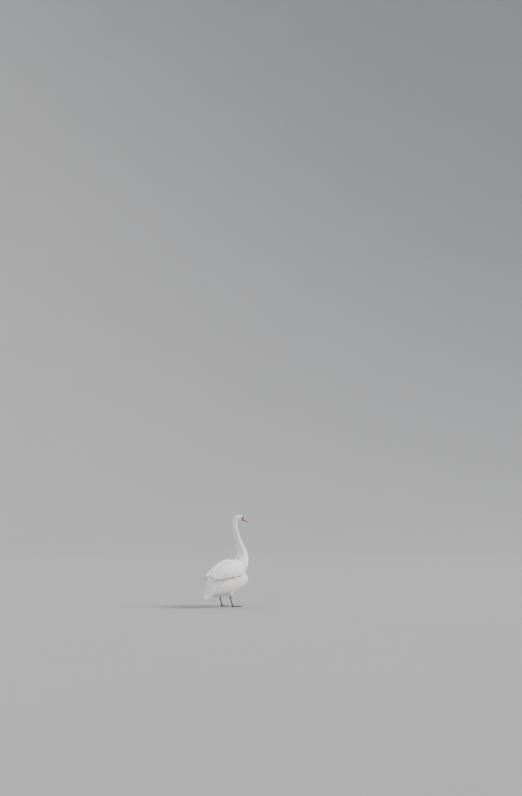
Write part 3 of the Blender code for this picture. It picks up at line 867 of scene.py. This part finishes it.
def coverts(side, word, finish):
    """Slanted rows over the wing, the hindmost first, each laid over the roots of the last."""
    coat = Coat()
    for start, end, spacing, gap, length, width, base, form in reversed(COVERT_ROWS):
        at, share = rows_over(wings[side], end, start, even(spacing), even(gap), span=(0.0, 1.0))
        at = at + ROW_SLANT * (0.62 - share)
        kept = (at > -0.45) & ((share > 0.27) | (start > 0.3) | (at < 0.5))
        at, share = at[kept], share[kept]
        number = len(at)
        vary = 1 + random.normal(0, 0.05, number)
        coat.add(form, lay(wings[side], form, at, share, length * vary, width * vary,
                           base - 0.0062, base + 0.0003 + 0.0005 * random.random(number),
                           random.normal(0, 0.05, number), 0.0012, 2.2, 0.0009 * side),
                 wing_places(at, share))
    coat.build("coverts_" + word, finish)


def scapulars(side, word, finish):
    """Broad feathers over the back, from the shoulder to the inner ends of the long ones."""
    coat = Coat()
    for at, first, last, number, length, width in SCAPULAR_ROWS[::-1]:
        share = np.linspace(first, last, number) + random.normal(0, 0.006, number)
        at = at + random.normal(0, 0.05, number)
        coat.add(LARGE, lay(wings[side], LARGE, at, share,
                            length * (1 + random.normal(0, 0.04, number)), width, -0.0068,
                            0.0007 + 0.0006 * random.random(number),
                            random.normal(0, 0.04, number), 0.0016, 2.3, 0.0010 * side),
                 wing_places(at, share))
    coat.build("scapulars_" + word, finish)


def flight_feathers(side, word, finish):
    """Long feathers fanned between their roots and their ends, and the tip's inner wall."""
    coat = Coat()
    for first, last, number, start, ends, shares, width, base, fall in LONG_ROWS:
        share = np.linspace(first, last, number)
        at = np.full(number, start) + random.normal(0, 0.03, number)
        end = np.linspace(*ends, number) + random.normal(0, 0.05, number)
        length, swing = aimed(wings[side], at, share, end, np.linspace(*shares, number))
        height = base - fall * np.arange(number)
        coat.add(QUILL, lay(wings[side], QUILL, at, share, length, np.linspace(*width, number),
                            height - 0.004, height, swing, 0.0014, 1.4, -0.0032 * side),
                 wing_places(at, share))
    down, at = np.linspace(0.42, -0.06, 8), np.full(8, 6.3)
    length, swing = aimed(tip_walls[side], at, down, np.linspace(9.5, 10.1, 8), down)
    coat.add(QUILL, lay(tip_walls[side], QUILL, at, down, length, 0.026, -0.010,
                        -0.0040 + 0.0004 * np.arange(8), swing, 0.0006, 1.4),
             wing_places(at, 0 * down))
    coat.build("flight_feathers_" + word, finish, ("wing_" + word, "primaries_" + word))


def wing_coats(finish, long_finish):
    """Coverts, scapulars and long feathers of both wings."""
    for side, word in SIDES:
        coverts(side, word, finish)
        scapulars(side, word, finish)
        flight_feathers(side, word, long_finish)


# ---- tail ----
def tail_half_width(out):
    """Opening as a quarter sine over its first 0.4, then rounded to the tip."""
    share = np.clip(out / TAIL_LENGTH, 0, 1)
    opening = TAIL_HALF_WIDTH * (0.84 + 0.16 * np.sin(np.pi / 2 * np.clip(share / 0.4, 0, 1)))
    return opening * np.sqrt(np.clip(1 - np.clip((share - 0.40) / 0.606, 0, 1)**1.7, 0, 1))


def tail_feathers(finish):
    """A fan of long feathers, the middle ones on top.

    Each one's length is the farthest place along its own line that stays in the tail's outline.
    """
    number = TAIL_FEATHERS
    lean = np.linspace(-1, 1, number)
    turn = 0.36 * lean - 0.075 * (np.arange(number) < TAIL_SPLIT)
    root_out, root_y = 0.020, 0.050 * lean
    reach = np.linspace(0.10, 0.238, 139)[:, None]
    out, y = root_out + reach * np.cos(turn), root_y + reach * np.sin(turn)
    inside = np.abs(y) < tail_half_width(out) + 0.003
    length = np.max(np.where(inside, reach, 0.10), axis=0) - 0.004 * random.random(number)
    height = -0.006 + 0.0005 * np.argsort(np.argsort(-np.abs(lean)))
    coat = Coat()
    coat.add(QUILL, lay(tail_top, QUILL, np.full(number, root_out), root_y, length, 0.027, height,
                        height, -turn, 0.0014, 1.5, -0.0024 * np.sign(lean)),
             np.stack([0.5 + 0.4 * lean, np.full(number, 0.2)], axis=-1))
    coat.build("tail_feathers", finish, ("tail",))


def tail_coverts(finish):
    """Rows of short feathers over and under the tail's root, thickest at the root."""
    coat = Coat()
    for surface, sign in ((tail_top, 1), (tail_under, -1)):
        for row in range(11)[::-1]:
            y = (np.arange(-5, 6) + 0.5 * (row % 2)) * 0.0145 + random.normal(0, 0.0012, 11)
            out = -0.030 + 0.0102 * row - 7.0 * y**2 + random.normal(0, 0.0015, 11)
            near = np.abs(y) < 0.076 - 0.0012 * row
            near &= (sign < 0) | (out > 0.045) | (np.abs(y) > 0.045)
            y, out = y[near], out[near]
            size = 1 + 0.030 * row
            depth = 0.020 * (1 - 0.85 * np.clip((out + 0.03) / 0.13, 0, 1))
            coat.add(MIDDLE, lay(surface, MIDDLE, out, y, 0.054 * size, 0.030 * size,
                                 depth - 0.004, depth * 0.8 + 0.0012, -sign * 3.0 * y, 0.0004,
                                 2.3), np.stack([0.5 + 5 * y, 0.5 + sign * 0.2 + out], axis=-1))
    coat.build("tail_coverts", finish)


# ---- skin ----
def skin_shape():
    """The body's rings drawn in by the coat's depth, a third less from the neck up.

    On the face the brow swells over the eye, the lores sink before it and its seat is a dish.
    """
    stations = [np.linspace(0, 18, 110), np.linspace(18, 26, 70)[1:],
                np.linspace(26, BILL_AT, 210)[1:]]
    at, angle = ring_grid(np.concatenate(stations), 220)
    surface = body.point(at, angle)
    place = head_place(surface)
    forward, out, up = np.moveaxis(place, -1, 0)
    on_side = ease(np.abs(out), 0.010, 0.016) * (at > HEAD_AT)
    gap = np.hypot((forward - EYE_PLACE[0]) / 1.2, up - EYE_PLACE[2])
    seat = -0.0022 * hump(gap, 0, 0.0058, 4)
    brow = 0.0011 * hump(forward, 0.018, 0.014) * hump(up, 0.0150, 0.0042)
    lores = -0.0009 * ease(bare_face(place), -0.001, 0.003)
    cheek = 0.0008 * hump(forward, 0.006, 0.016) * hump(up, -0.008, 0.007)
    bare = 0.6 * ease(bare_face(place), -0.001, 0.001)
    height = -coat_depth(at) * (1 - 0.35 * ease(at, 13, 19))
    height = height + on_side * (seat + brow + lores + cheek + bare * coat_depth(at))
    return closed_tube(surface + body.frame(at, angle)[2] * height[..., None])


def wing_core(side):
    """A thick plate inside the folded wing, an arch and the same arch set inward."""
    at, share = np.meshgrid(np.linspace(0.9, 6.0, 36), np.linspace(0.02, 0.95, 26), indexing="ij")
    thin = 1 - 0.97 * ease(at, 4.2, 6.0)
    outer = wings[side].raised(at, share, -0.0105 - 0.001 * thin)
    inner = wings[side].raised(at, share, -0.0145 - 0.055 * thin)
    return closed_tube(np.concatenate([outer, inner[:, ::-1]], axis=1))


def make_skin(finish):
    """Body, rump, wing plates, thighs and shoulders joined into one closed skin."""
    skin = united("skin", [
        skin_shape(),
        rump.tube(np.linspace(0, 7.4, 44), 48, lambda *_: -0.009),
        *(wing_core(side) for side in (1, -1)),
        *(thighs[side].tube(np.linspace(0, 4, 24), 28, lambda at, _: -0.003 * ease(4 - at, 0, 1.0))
          for side in (1, -1)),
        *(shoulders[side].tube(np.linspace(0.1, np.pi - 0.1, 24), 32, lambda *_: -0.0065)
          for side in (1, -1))])
    add_value(skin.data, "place", head_place(points_of(skin.data)))
    shown(skin, finish, ("trunk", "neck", "head", "thigh_left", "thigh_right"))


# ---- bill, knob and eyes ----
def upper_relief(at, forward, level, across):
    """Shares by which the upper half's side and top change: nostril, groove, lip and nail.

    The nostril is a long dish in a groove, the cutting edge a thin lip, the nail a low shield.
    """
    dish = hump(forward, NOSTRIL[0], 0.0052, 4) * hump(level, NOSTRIL[1], 0.15)
    groove = hump(level, 0.56, 0.10) * ease(forward, 0.052, 0.066)
    groove = groove * (1 - ease(forward, 0.084, 0.104))
    lip = hump(level, 0.05, 0.05) * (1 - ease(at, 4.8, 5.4))
    nail = ease(forward, 0.1115, 0.1145) * (1 - ease(across, 0.42, 0.58))
    side = (1 - 0.16 * dish) * (1 - 0.035 * groove) * (1 + 0.030 * lip)
    return side, 0.0009 * nail * (1 - ease(at, 5.7, 6.0)) - 0.0006 * dish


def bill_half(upper):
    """One half of the bill: half-round sections from its base to the nail, closed by its floor.

    Side = half width x cosine; up = gape + (culmen - gape) x sine^0.85.
    """
    stations = np.concatenate([np.linspace(0, 4.6, 110), np.linspace(4.6, 6.0, 60)[1:]])
    if not upper:
        stations = stations[stations < 5.55]
    at, angle = np.meshgrid(stations, np.linspace(0, np.pi, 61), indexing="ij")
    forward, culmen, gape, chin, half = columns_between(BILL_RINGS, at)
    edge = culmen if upper else chin
    up = gape + (edge - gape) * np.sin(angle)**0.85
    side = half * np.cos(angle)
    if upper:
        level = (up - gape) / np.maximum(edge - gape, 1e-5)
        narrower, rise = upper_relief(at, forward, level, np.abs(np.cos(angle)))
        # the last rows draw in so that the tip is round
        side = side * narrower * np.sqrt(np.clip(1 - ((at - 5.2) / 0.82).clip(0, 1)**2.4, 0.02, 1))
        up = up + rise
    else:
        side = side * LOWER_BILL_WIDTH
    base_forward, base_top, _, base_low, _ = BILL_RINGS[0]
    drop = (base_top - up) / (base_top - base_low)
    fade = np.clip(1 - (forward - base_forward) / 0.02, 0, 1)
    forward = forward - BILL_BASE_LEAN * drop * fade - (0.0015 * (at < 0.001) if upper else 0.0)
    back, gap = np.s_[:, -2:0:-3], 0.00035 if upper else -0.00035
    return closed_tube(from_head(np.concatenate([forward, forward[back]], axis=1),
                                 np.concatenate([side, side[back] * 0.97], axis=1),
                                 np.concatenate([up, gape[back] + gap], axis=1)))


def make_bill(finish):
    """The upper and the lower half, each a piece of its own."""
    halves = (("bill_top", True, "bill_upper"), ("bill_bottom", False, "bill_lower"))
    for name, upper, node in halves:
        points, faces = bill_half(upper)
        obj = make_piece(name, points, faces, finish, "bill", (node,))
        add_value(obj.data, "place", head_place(points))


def ball_grid(near_pole, rows, sides):
    """Unit directions over a ball, its poles along the first axis and left open by an angle."""
    theta, phi = ring_grid(np.linspace(near_pole, np.pi - near_pole, rows), sides)
    return np.cos(theta), np.sin(theta) * np.cos(phi), np.sin(theta) * np.sin(phi)


def make_knob(finish):
    """An ellipsoid over the bill's base, a little fuller in front, with a groove along its top."""
    x, y, z = ball_grid(0.04, 56, 72)
    swell = 1 - 0.06 * x - 0.03 * hump(y, 0, 0.18) * (z > 0) * z
    forward, up = rotated(-KNOB_RADII[0] * x, KNOB_RADII[2] * z * swell, -KNOB_SLOPE)
    points, faces = closed_tube(from_head(KNOB_PLACE[0] + forward, KNOB_RADII[1] * y * swell,
                                          KNOB_PLACE[1] + up))
    make_piece("knob", points, faces, finish, "black_skin", ("bill_knob",))


def make_eyes(eye_finish, lid_finish):
    """Round dark eyes, each in an almond of two lids that meet at its corners.

    The lids are a thin tube along the almond, which hugs the ball and is drawn to its corners.
    """
    radius = EYE_RADIUS * 0.98
    forward, out, up = EYE_PLACE
    turn, around = ring_grid(np.linspace(0, 2 * np.pi, 96, endpoint=False), 14)
    long_way = LID_HALF_LENGTH * np.cos(turn) * (1 + 0.10 * np.abs(np.cos(turn))**6)
    high_way = LID_HALF_HEIGHT * np.sin(turn) * np.abs(np.sin(turn))**0.10
    depth = np.sqrt(np.clip((radius + 0.0002)**2 - long_way**2 - high_way**2, 0, 1))
    thick = 0.00085 + 0.00025 * np.sin(turn)
    wider = 1 + np.cos(around) * thick / np.hypot(long_way, high_way)
    x, y, z = ball_grid(0.03, 32, 40)
    for side, word in SIDES:
        ball = from_head(forward + radius * y, side * (out + radius * x), up + radius * z)
        make_piece("eyeball_" + word, *closed_tube(ball), eye_finish, "eye", ("eye_" + word,))
        lids = from_head(forward + long_way * wider, side * (out + depth + np.sin(around) * thick),
                         up + high_way * wider).reshape(-1, 3)
        faces = outward(lids, tube_faces(*turn.shape, loop=True))
        make_piece("lids_" + word, lids, faces, lid_finish, "black_skin")


# ---- legs ----
def lying_tube(leg, turn, reach, across, height):
    """A closed tube from the heel: distances along a turned line, across it and up."""
    heel, middle, side = leg
    x, y = rotated(reach, across, turn)
    return closed_tube(point_of(heel + x, middle + side * y, height))


def toe(leg, turn, length, radius=0.0068):
    """An arched tube with knuckles, narrowing towards its claw, flat on the floor."""
    share, around = ring_grid(np.linspace(0, 1, 60), 24)
    knuckles = sum(hump(share, place, 0.055) for place in (0.36, 0.66, 0.90))
    r = radius * (1 - 0.42 * share) * (0.88 + 0.20 * knuckles)
    height = r * 0.86 + 0.0030 * (1 - share)**2 + r * 0.95 * np.sin(around)
    return lying_tube(leg, turn, share * (length - 0.014), r * np.cos(around), height)


def claw(leg, turn, length, size=1.0):
    """A tube at the toe's end that thins to a point and bends down to the floor."""
    share, around = ring_grid(np.linspace(0, 1, 14), 12)
    r = 0.0030 * size * (1 - 0.90 * share**1.3)
    height = np.maximum(0.0046 - 0.0030 * share**2 + r * np.sin(around), 0.0003)
    return lying_tube(leg, turn, length - 0.0175 + 0.0165 * share * size, r * np.cos(around),
                      height)


def web(leg, first, second):
    """The web between two toes: a thin sheet that sags and folds, with a scalloped edge."""
    heel, middle, side = leg
    (a, length_a), (b, length_b) = first, second
    f, share = np.linspace(0, 1, 40)[None, :], np.linspace(0.10, 1, 44)[:, None]
    sag = np.sin(np.pi * f)
    reach = share * (length_a + (length_b - length_a) * f) * (0.87 - 0.11 * sag**0.8)
    x, y = rotated(reach, 0, a + (b - a) * f)
    level = (0.0046 * (1 - 0.45 * share) - 0.0013 * sag * share
             + 0.00045 * np.sin(f * 26) * share * sag)
    thick = 0.0009 + 0.0006 * (1 - share)
    top, bottom = (point_of(heel + x, middle + side * y, z)
                   for z in (level + thick, np.maximum(level - thick, 0.0004)))
    return closed_tube(np.concatenate([top, bottom[:, ::-1]], axis=1))


def scutes(at, angle):
    """Low plates down the front of the shank."""
    return 0.00035 * np.abs(np.sin(at * 9.0)) * np.clip(np.cos(angle), 0, 1)


def make_legs(finish, claw_finish):
    """Shank, toes and webs grown into one skin, with the claws apart from it."""
    for side, word in SIDES:
        leg = (HEEL_X + LEG_AHEAD[side] + SHIFT_X, LEG_Y * side, side)
        shank = leg_surface(SHANK_RINGS, side)
        stations = np.linspace(0, len(SHANK_RINGS) - 1, 120)
        parts = [shank.tube(stations, 40, scutes), *(toe(leg, *row) for row in TOES),
                 *(web(leg, *pair) for pair in zip(TOES[:-1], TOES[1:])),
                 toe(leg, *HIND_TOE, radius=0.0050)]
        obj = grown("leg_" + word, parts, LEG_VOXEL)
        points = points_of(obj.data)
        points[:, 2] = np.maximum(points[:, 2] - SOLE_SINK, 0.0)
        obj.data.vertices.foreach_set("co", points.ravel())
        obj.data.update()
        shown(obj, finish, ("shank_" + word, "foot_" + word, "hallux_" + word))
        claws = [*(claw(leg, *row) for row in TOES), claw(leg, *HIND_TOE, size=0.7)]
        make_piece("claws_" + word, *heaped(claws), claw_finish, "black_skin")


# ---- finishes ----
WHITE = (0.89, 0.875, 0.855)
CREAM = (0.86, 0.825, 0.770)
# grey of the painted shade on the vanes, towards their roots and along their edges
VANE_SHADE_GREY = (0.66, 0.66, 0.665)
STAIN = (0.78, 0.69, 0.56)


def operator(operation, reflected=False):
    """A method that adds its own Math node; a reflected one puts the other value first."""
    def act(value, *others):
        operands = (*others, value) if reflected else (value, *others)
        return value.finish.add("ShaderNodeMath", {"operation": operation}, operands)
    return act


class Value:
    """A socket that takes part in expressions."""

    def __init__(self, finish, socket):
        self.finish, self.socket = finish, socket

    __add__ = __radd__ = operator("ADD")
    __mul__ = __rmul__ = operator("MULTIPLY")
    __sub__, __rsub__ = operator("SUBTRACT"), operator("SUBTRACT", reflected=True)
    __truediv__, __pow__ = operator("DIVIDE"), operator("POWER")
    sine, size = operator("SINE"), operator("ABSOLUTE")
    least, most = operator("MINIMUM"), operator("MAXIMUM")

    def step(self, low, high):
        """0 at low, 1 at high, smooth between."""
        return self.finish.add("ShaderNodeMapRange", {"interpolation_type": "SMOOTHSTEP"},
                               {"Value": self, "From Min": low, "From Max": high})


class Finish:
    """A material with one Principled shader, built node by node."""

    def __init__(self, name, **constants):
        self.material = bpy.data.materials.new(name)
        self.material.use_nodes = True
        self.nodes, self.links = self.material.node_tree.nodes, self.material.node_tree.links
        self.inputs = self.nodes["Principled BSDF"].inputs
        for key, value in constants.items():
            self.inputs[key.replace("_", " ")].default_value = value

    def add(self, kind, settings=None, values=(), output=0):
        """One node of a kind, with its settings and with values or links for its sockets."""
        node = self.nodes.new(kind)
        for key, value in (settings or {}).items():
            setattr(node, key, value)
        for key, value in values.items() if isinstance(values, dict) else enumerate(values):
            self.put(node.inputs[key], value)
        return Value(self, node.outputs[output])

    def give(self, name, value):
        """A value for one of the shader's inputs."""
        self.put(self.inputs[name], value)

    def put(self, socket, value):
        """A link or a plain value into a socket."""
        if isinstance(value, Value):
            self.links.new(value.socket, socket)
        else:
            socket.default_value = value

    def mix(self, factor, first, second):
        """A colour between two colours."""
        first, second = ((*c, 1.0) if isinstance(c, tuple) else c for c in (first, second))
        return self.add("ShaderNodeMix", {"data_type": "RGBA"}, {0: factor, 6: first, 7: second}, 2)

    def place(self):
        """Place in the object's own frame."""
        return self.add("ShaderNodeTexCoord", output="Object")

    def attribute(self, name, output="Fac"):
        """A value stored on the mesh."""
        return self.add("ShaderNodeAttribute", {"attribute_name": name}, output=output)

    def split(self, vector):
        """The three numbers of a vector."""
        first = self.add("ShaderNodeSeparateXYZ", values=[vector])
        return [Value(self, socket) for socket in first.socket.node.outputs]

    def noise(self, scale, detail):
        """Soft cloudy noise over the object."""
        return self.add("ShaderNodeTexNoise", {}, {"Vector": self.place(), "Scale": scale,
                                                   "Detail": detail, "Roughness": 0.55})

    def bump(self, height, distance, strength):
        """Relief in the normal from a height."""
        self.give("Normal", self.add(
            "ShaderNodeBump", {}, {"Height": height, "Distance": distance, "Strength": strength}))


def stained(finish, colour):
    """A colour under a faint rusty wash from water and mud, on crown, face and upper neck."""
    height = finish.split(finish.place())[2]
    mask = height.step(0.78, 1.12) * finish.noise(22.0, 3.0).step(0.40, 0.72) * 0.34
    return finish.mix(mask, colour, STAIN)


def plumage_finish(name, barb_count, relief, edge):
    """White vanes with painted shade: greyer towards their roots, as if shaded by the feathers
    lying above, and along their thin edges, as if shaded where neighbours overlap.

    Each feather has its own tone, and barbs and a shaft in relief.
    """
    finish = Finish(name, Roughness=0.72, Sheen_Weight=0.12, Sheen_Roughness=0.45)
    across, along, _ = finish.split(finish.add("ShaderNodeUVMap", {"uv_map": "Vane"}))
    side = (across - 0.5).size()
    cream = finish.attribute("tone") * 0.35 + finish.noise(9.0, 2.0).step(0.35, 0.7) * 0.3
    white = stained(finish, finish.mix(cream, WHITE, CREAM))
    # painted shade: grey over the root end of each vane, fading out towards the tip, where the
    # feathers above would shade it
    white = finish.mix((1 - along.step(0.62, 1.0)) * 0.85, white, VANE_SHADE_GREY)
    # painted shade along both edges of each vane, as strong as edge says, where the neighbours
    # would shade it
    finish.give("Base Color", finish.mix(side.step(0.22, 0.50) * edge, white, VANE_SHADE_GREY))
    barbs = ((along * barb_count + side * barb_count * 0.65) * 3.1416).sine()
    shaft = 1 - side.step(0.0, 0.035)
    finish.bump(barbs * 0.14 + shaft * 1.1, relief, 0.55)
    return finish.material


def skin_finish():
    """Pale down under the coat; black, leathery lores and a black band round the bill's base."""
    finish = Finish("skin", Roughness=0.75)
    forward, _, up = finish.split(finish.attribute("place", "Vector"))
    top, low, back = lores_edges(forward, up)
    black = top.least(low).least(back).step(-0.0005, 0.0004).most(forward.step(0.0405, 0.0425))
    black = black * up.step(-0.2, -0.08) * (1 - up.step(0.05, 0.06))
    finish.give("Base Color", finish.mix(black, stained(finish, WHITE), (0.018, 0.017, 0.017)))
    finish.give("Roughness", 0.75 - black * 0.27)
    grain = finish.add("ShaderNodeTexVoronoi", {}, {"Vector": finish.place(), "Scale": 900.0})
    finish.bump(grain * black + finish.noise(700.0, 2.0) * (1 - black), 0.0003, 0.5)
    return finish.material


def bill_finish():
    """Orange-red in soft clouds of deeper and paler orange, with black base band, nostrils, edges
    and nail.
    """
    finish = Finish("bill horn", Roughness=0.42, Coat_Roughness=0.25)
    forward, side, up = finish.split(finish.attribute("place", "Vector"))
    cloud, fine = finish.noise(90.0, 4.0), finish.noise(420.0, 3.0)
    orange = finish.mix(cloud.step(0.35, 0.68), (0.66, 0.155, 0.035), (0.55, 0.105, 0.028))
    orange = finish.mix(fine.step(0.55, 0.75) * 0.25, orange, (0.74, 0.25, 0.08))
    base = 1 - (forward + up * 0.15).step(0.0500, 0.0525)
    level = -0.0126 - (forward - 0.047) * 0.19
    gape_line = 1 - (up - level).size().step(0.0008, 0.0018)
    gape_line = gape_line * (1 - forward.step(0.112, 0.118))
    nostril = (((forward - NOSTRIL[0]) / 0.0052)**2
               + ((up + 0.0105 - (NOSTRIL[0] - forward) * 0.3) / 0.0019)**2)
    nostril = 1 - nostril.step(0.6, 1.3)
    nail = forward.step(0.1120, 0.1140) * (1 - side.size().step(0.0058, 0.0072))
    under = (level - up).step(0.0035, 0.0060)
    black = base.most(gape_line).most(nostril).most(nail).most(under * 0.85)
    finish.give("Base Color", finish.mix(black, orange, (0.020, 0.018, 0.017)))
    finish.give("Roughness", 0.40 + cloud * 0.12 + black * 0.08)
    finish.give("Coat Weight", 0.22 - black * 0.10)
    finish.bump(fine * 0.7 + cloud, 0.00035, 0.45)
    return finish.material


def leather_finish(name, scale, colour, light, relief, rough):
    """Dark leathery skin in small scales, paler on their tops, with a dull dusty bloom."""
    finish = Finish(name, Roughness=rough)
    cells = finish.add("ShaderNodeTexVoronoi", {"feature": "DISTANCE_TO_EDGE"},
                       {"Vector": finish.place(), "Scale": scale})
    patches, plate = finish.noise(60.0, 4.0), cells.step(0.0, 0.12)
    dust = patches.step(0.4, 0.75) * 0.6 + plate * 0.25
    finish.give("Base Color", finish.mix(dust, colour, light))
    finish.give("Roughness", rough - plate * 0.10 + patches * 0.12)
    finish.bump(plate + patches * 0.3, relief, 0.6)
    return finish.material


def clouded_finish(name, scale, first, second, **constants):
    """Two close colours in soft clouds: the wet dark eye, and the studio paper."""
    finish = Finish(name, **constants)
    finish.give("Base Color", finish.mix(finish.noise(scale, 2.0), first, second))
    return finish.material


# ---- stage ----
CAMERA_DISTANCE, CAMERA_HEIGHT = 14.0, 1.05
CAMERA_AZIMUTH = math.radians(-48.0)
CAMERA_UP, CAMERA_RIGHT = math.radians(6.38), math.radians(1.71)
LENS = 50.1
SUNS = [                             # (name, direction, strength, spread in degrees, colour)
    ("key", (-0.55, 0.62, -0.62), 4.8, 28.0, (1.0, 0.96, 0.92)),
    ("fill", (0.75, 0.25, -0.55), 1.1, 60.0, (0.88, 0.93, 1.0)),
    ("back", (-0.25, -0.8, -0.6), 1.1, 50.0, (0.94, 0.97, 1.0)),
]


def make_floor():
    """Studio paper: flat to 20 m, then a quarter ellipse up to its rim all round."""
    bend = np.linspace(0, np.pi / 2, 40)[1:]
    radius = np.concatenate([np.linspace(2, 20, 10), 20 + 30 * np.sin(bend)])
    height = np.concatenate([np.zeros(10), 36 * (1 - np.cos(bend))])
    radius, angle = ring_grid(radius, 96)
    ring = point_of(radius * np.cos(angle), radius * np.sin(angle), height[:, None])
    j = np.arange(96)
    middle = np.stack([0 * j, 1 + j, 1 + (j + 1) % 96], axis=-1)
    floor = plain_object("floor", np.vstack([np.zeros((1, 3)), ring.reshape(-1, 3)]),
                         np.vstack([middle, tube_faces(len(height), 96, 1)[:, ::-1]]))
    floor.data.shade_smooth()
    floor.data.materials.append(clouded_finish(
        "studio paper", 0.35, (0.262, 0.261, 0.259), (0.278, 0.277, 0.275), Roughness=0.9))
    floor.visible_shadow = False


def make_stage():
    """The floor, the camera, three soft suns and pale air."""
    make_floor()
    scene = bpy.context.scene
    forward = Vector((-math.sin(CAMERA_AZIMUTH), math.cos(CAMERA_AZIMUTH), 0))
    camera = bpy.data.objects.new("camera", bpy.data.cameras.new("camera"))
    scene.collection.objects.link(camera)
    camera.data.lens, camera.data.clip_end = LENS, 200
    camera.location = Vector((SHIFT_X, 0, CAMERA_HEIGHT)) - forward * CAMERA_DISTANCE
    camera.rotation_euler = (math.pi / 2 + CAMERA_UP, 0, CAMERA_AZIMUTH - CAMERA_RIGHT)
    scene.camera = camera
    for name, toward, power, spread, colour in SUNS:
        light = bpy.data.lights.new(name, "SUN")
        light.energy, light.angle, light.color = power, math.radians(spread), colour
        lamp = bpy.data.objects.new(name, light)
        lamp.rotation_euler = Vector(toward).to_track_quat("-Z", "Y").to_euler()
        scene.collection.objects.link(lamp)
    scene.world = bpy.data.worlds.new("studio air")
    scene.world.use_nodes = True
    air = scene.world.node_tree.nodes["Background"].inputs
    air["Color"].default_value, air["Strength"].default_value = (0.88, 0.92, 1.0, 1), 1.1


make_stage()
# the last number of each is the strength of the painted shade along the vanes' edges
vanes = plumage_finish("plumage vanes", 70.0, 0.0003, 0.25)
long_vanes = plumage_finish("long plumage vanes", 190.0, 0.0004, 0.75)
black_leather = leather_finish("bare black skin", 1150.0, (0.016, 0.015, 0.015),
                               (0.030, 0.029, 0.028), 0.00016, 0.50)
leg_leather = leather_finish("leg scales", 330.0, (0.022, 0.021, 0.020),
                             (0.060, 0.056, 0.052), 0.0006, 0.60)
claw_horn = leather_finish("claw horn", 90.0, (0.020, 0.017, 0.015), (0.045, 0.038, 0.033),
                           0.0001, 0.40)
dark_eye = clouded_finish("eye", 600.0, (0.006, 0.004, 0.003), (0.014, 0.007, 0.004),
                          Roughness=0.10, Coat_Weight=0.5, Coat_Roughness=0.03)
make_skin(skin_finish())
body_coats(vanes)
thigh_coats(vanes)
wing_coats(vanes, long_vanes)
rump_coat(vanes)
shoulder_coats(vanes)
tail_feathers(long_vanes)
tail_coverts(vanes)
make_bill(bill_finish())
make_knob(black_leather)
make_eyes(dark_eye, black_leather)
make_legs(leg_leather, claw_horn)
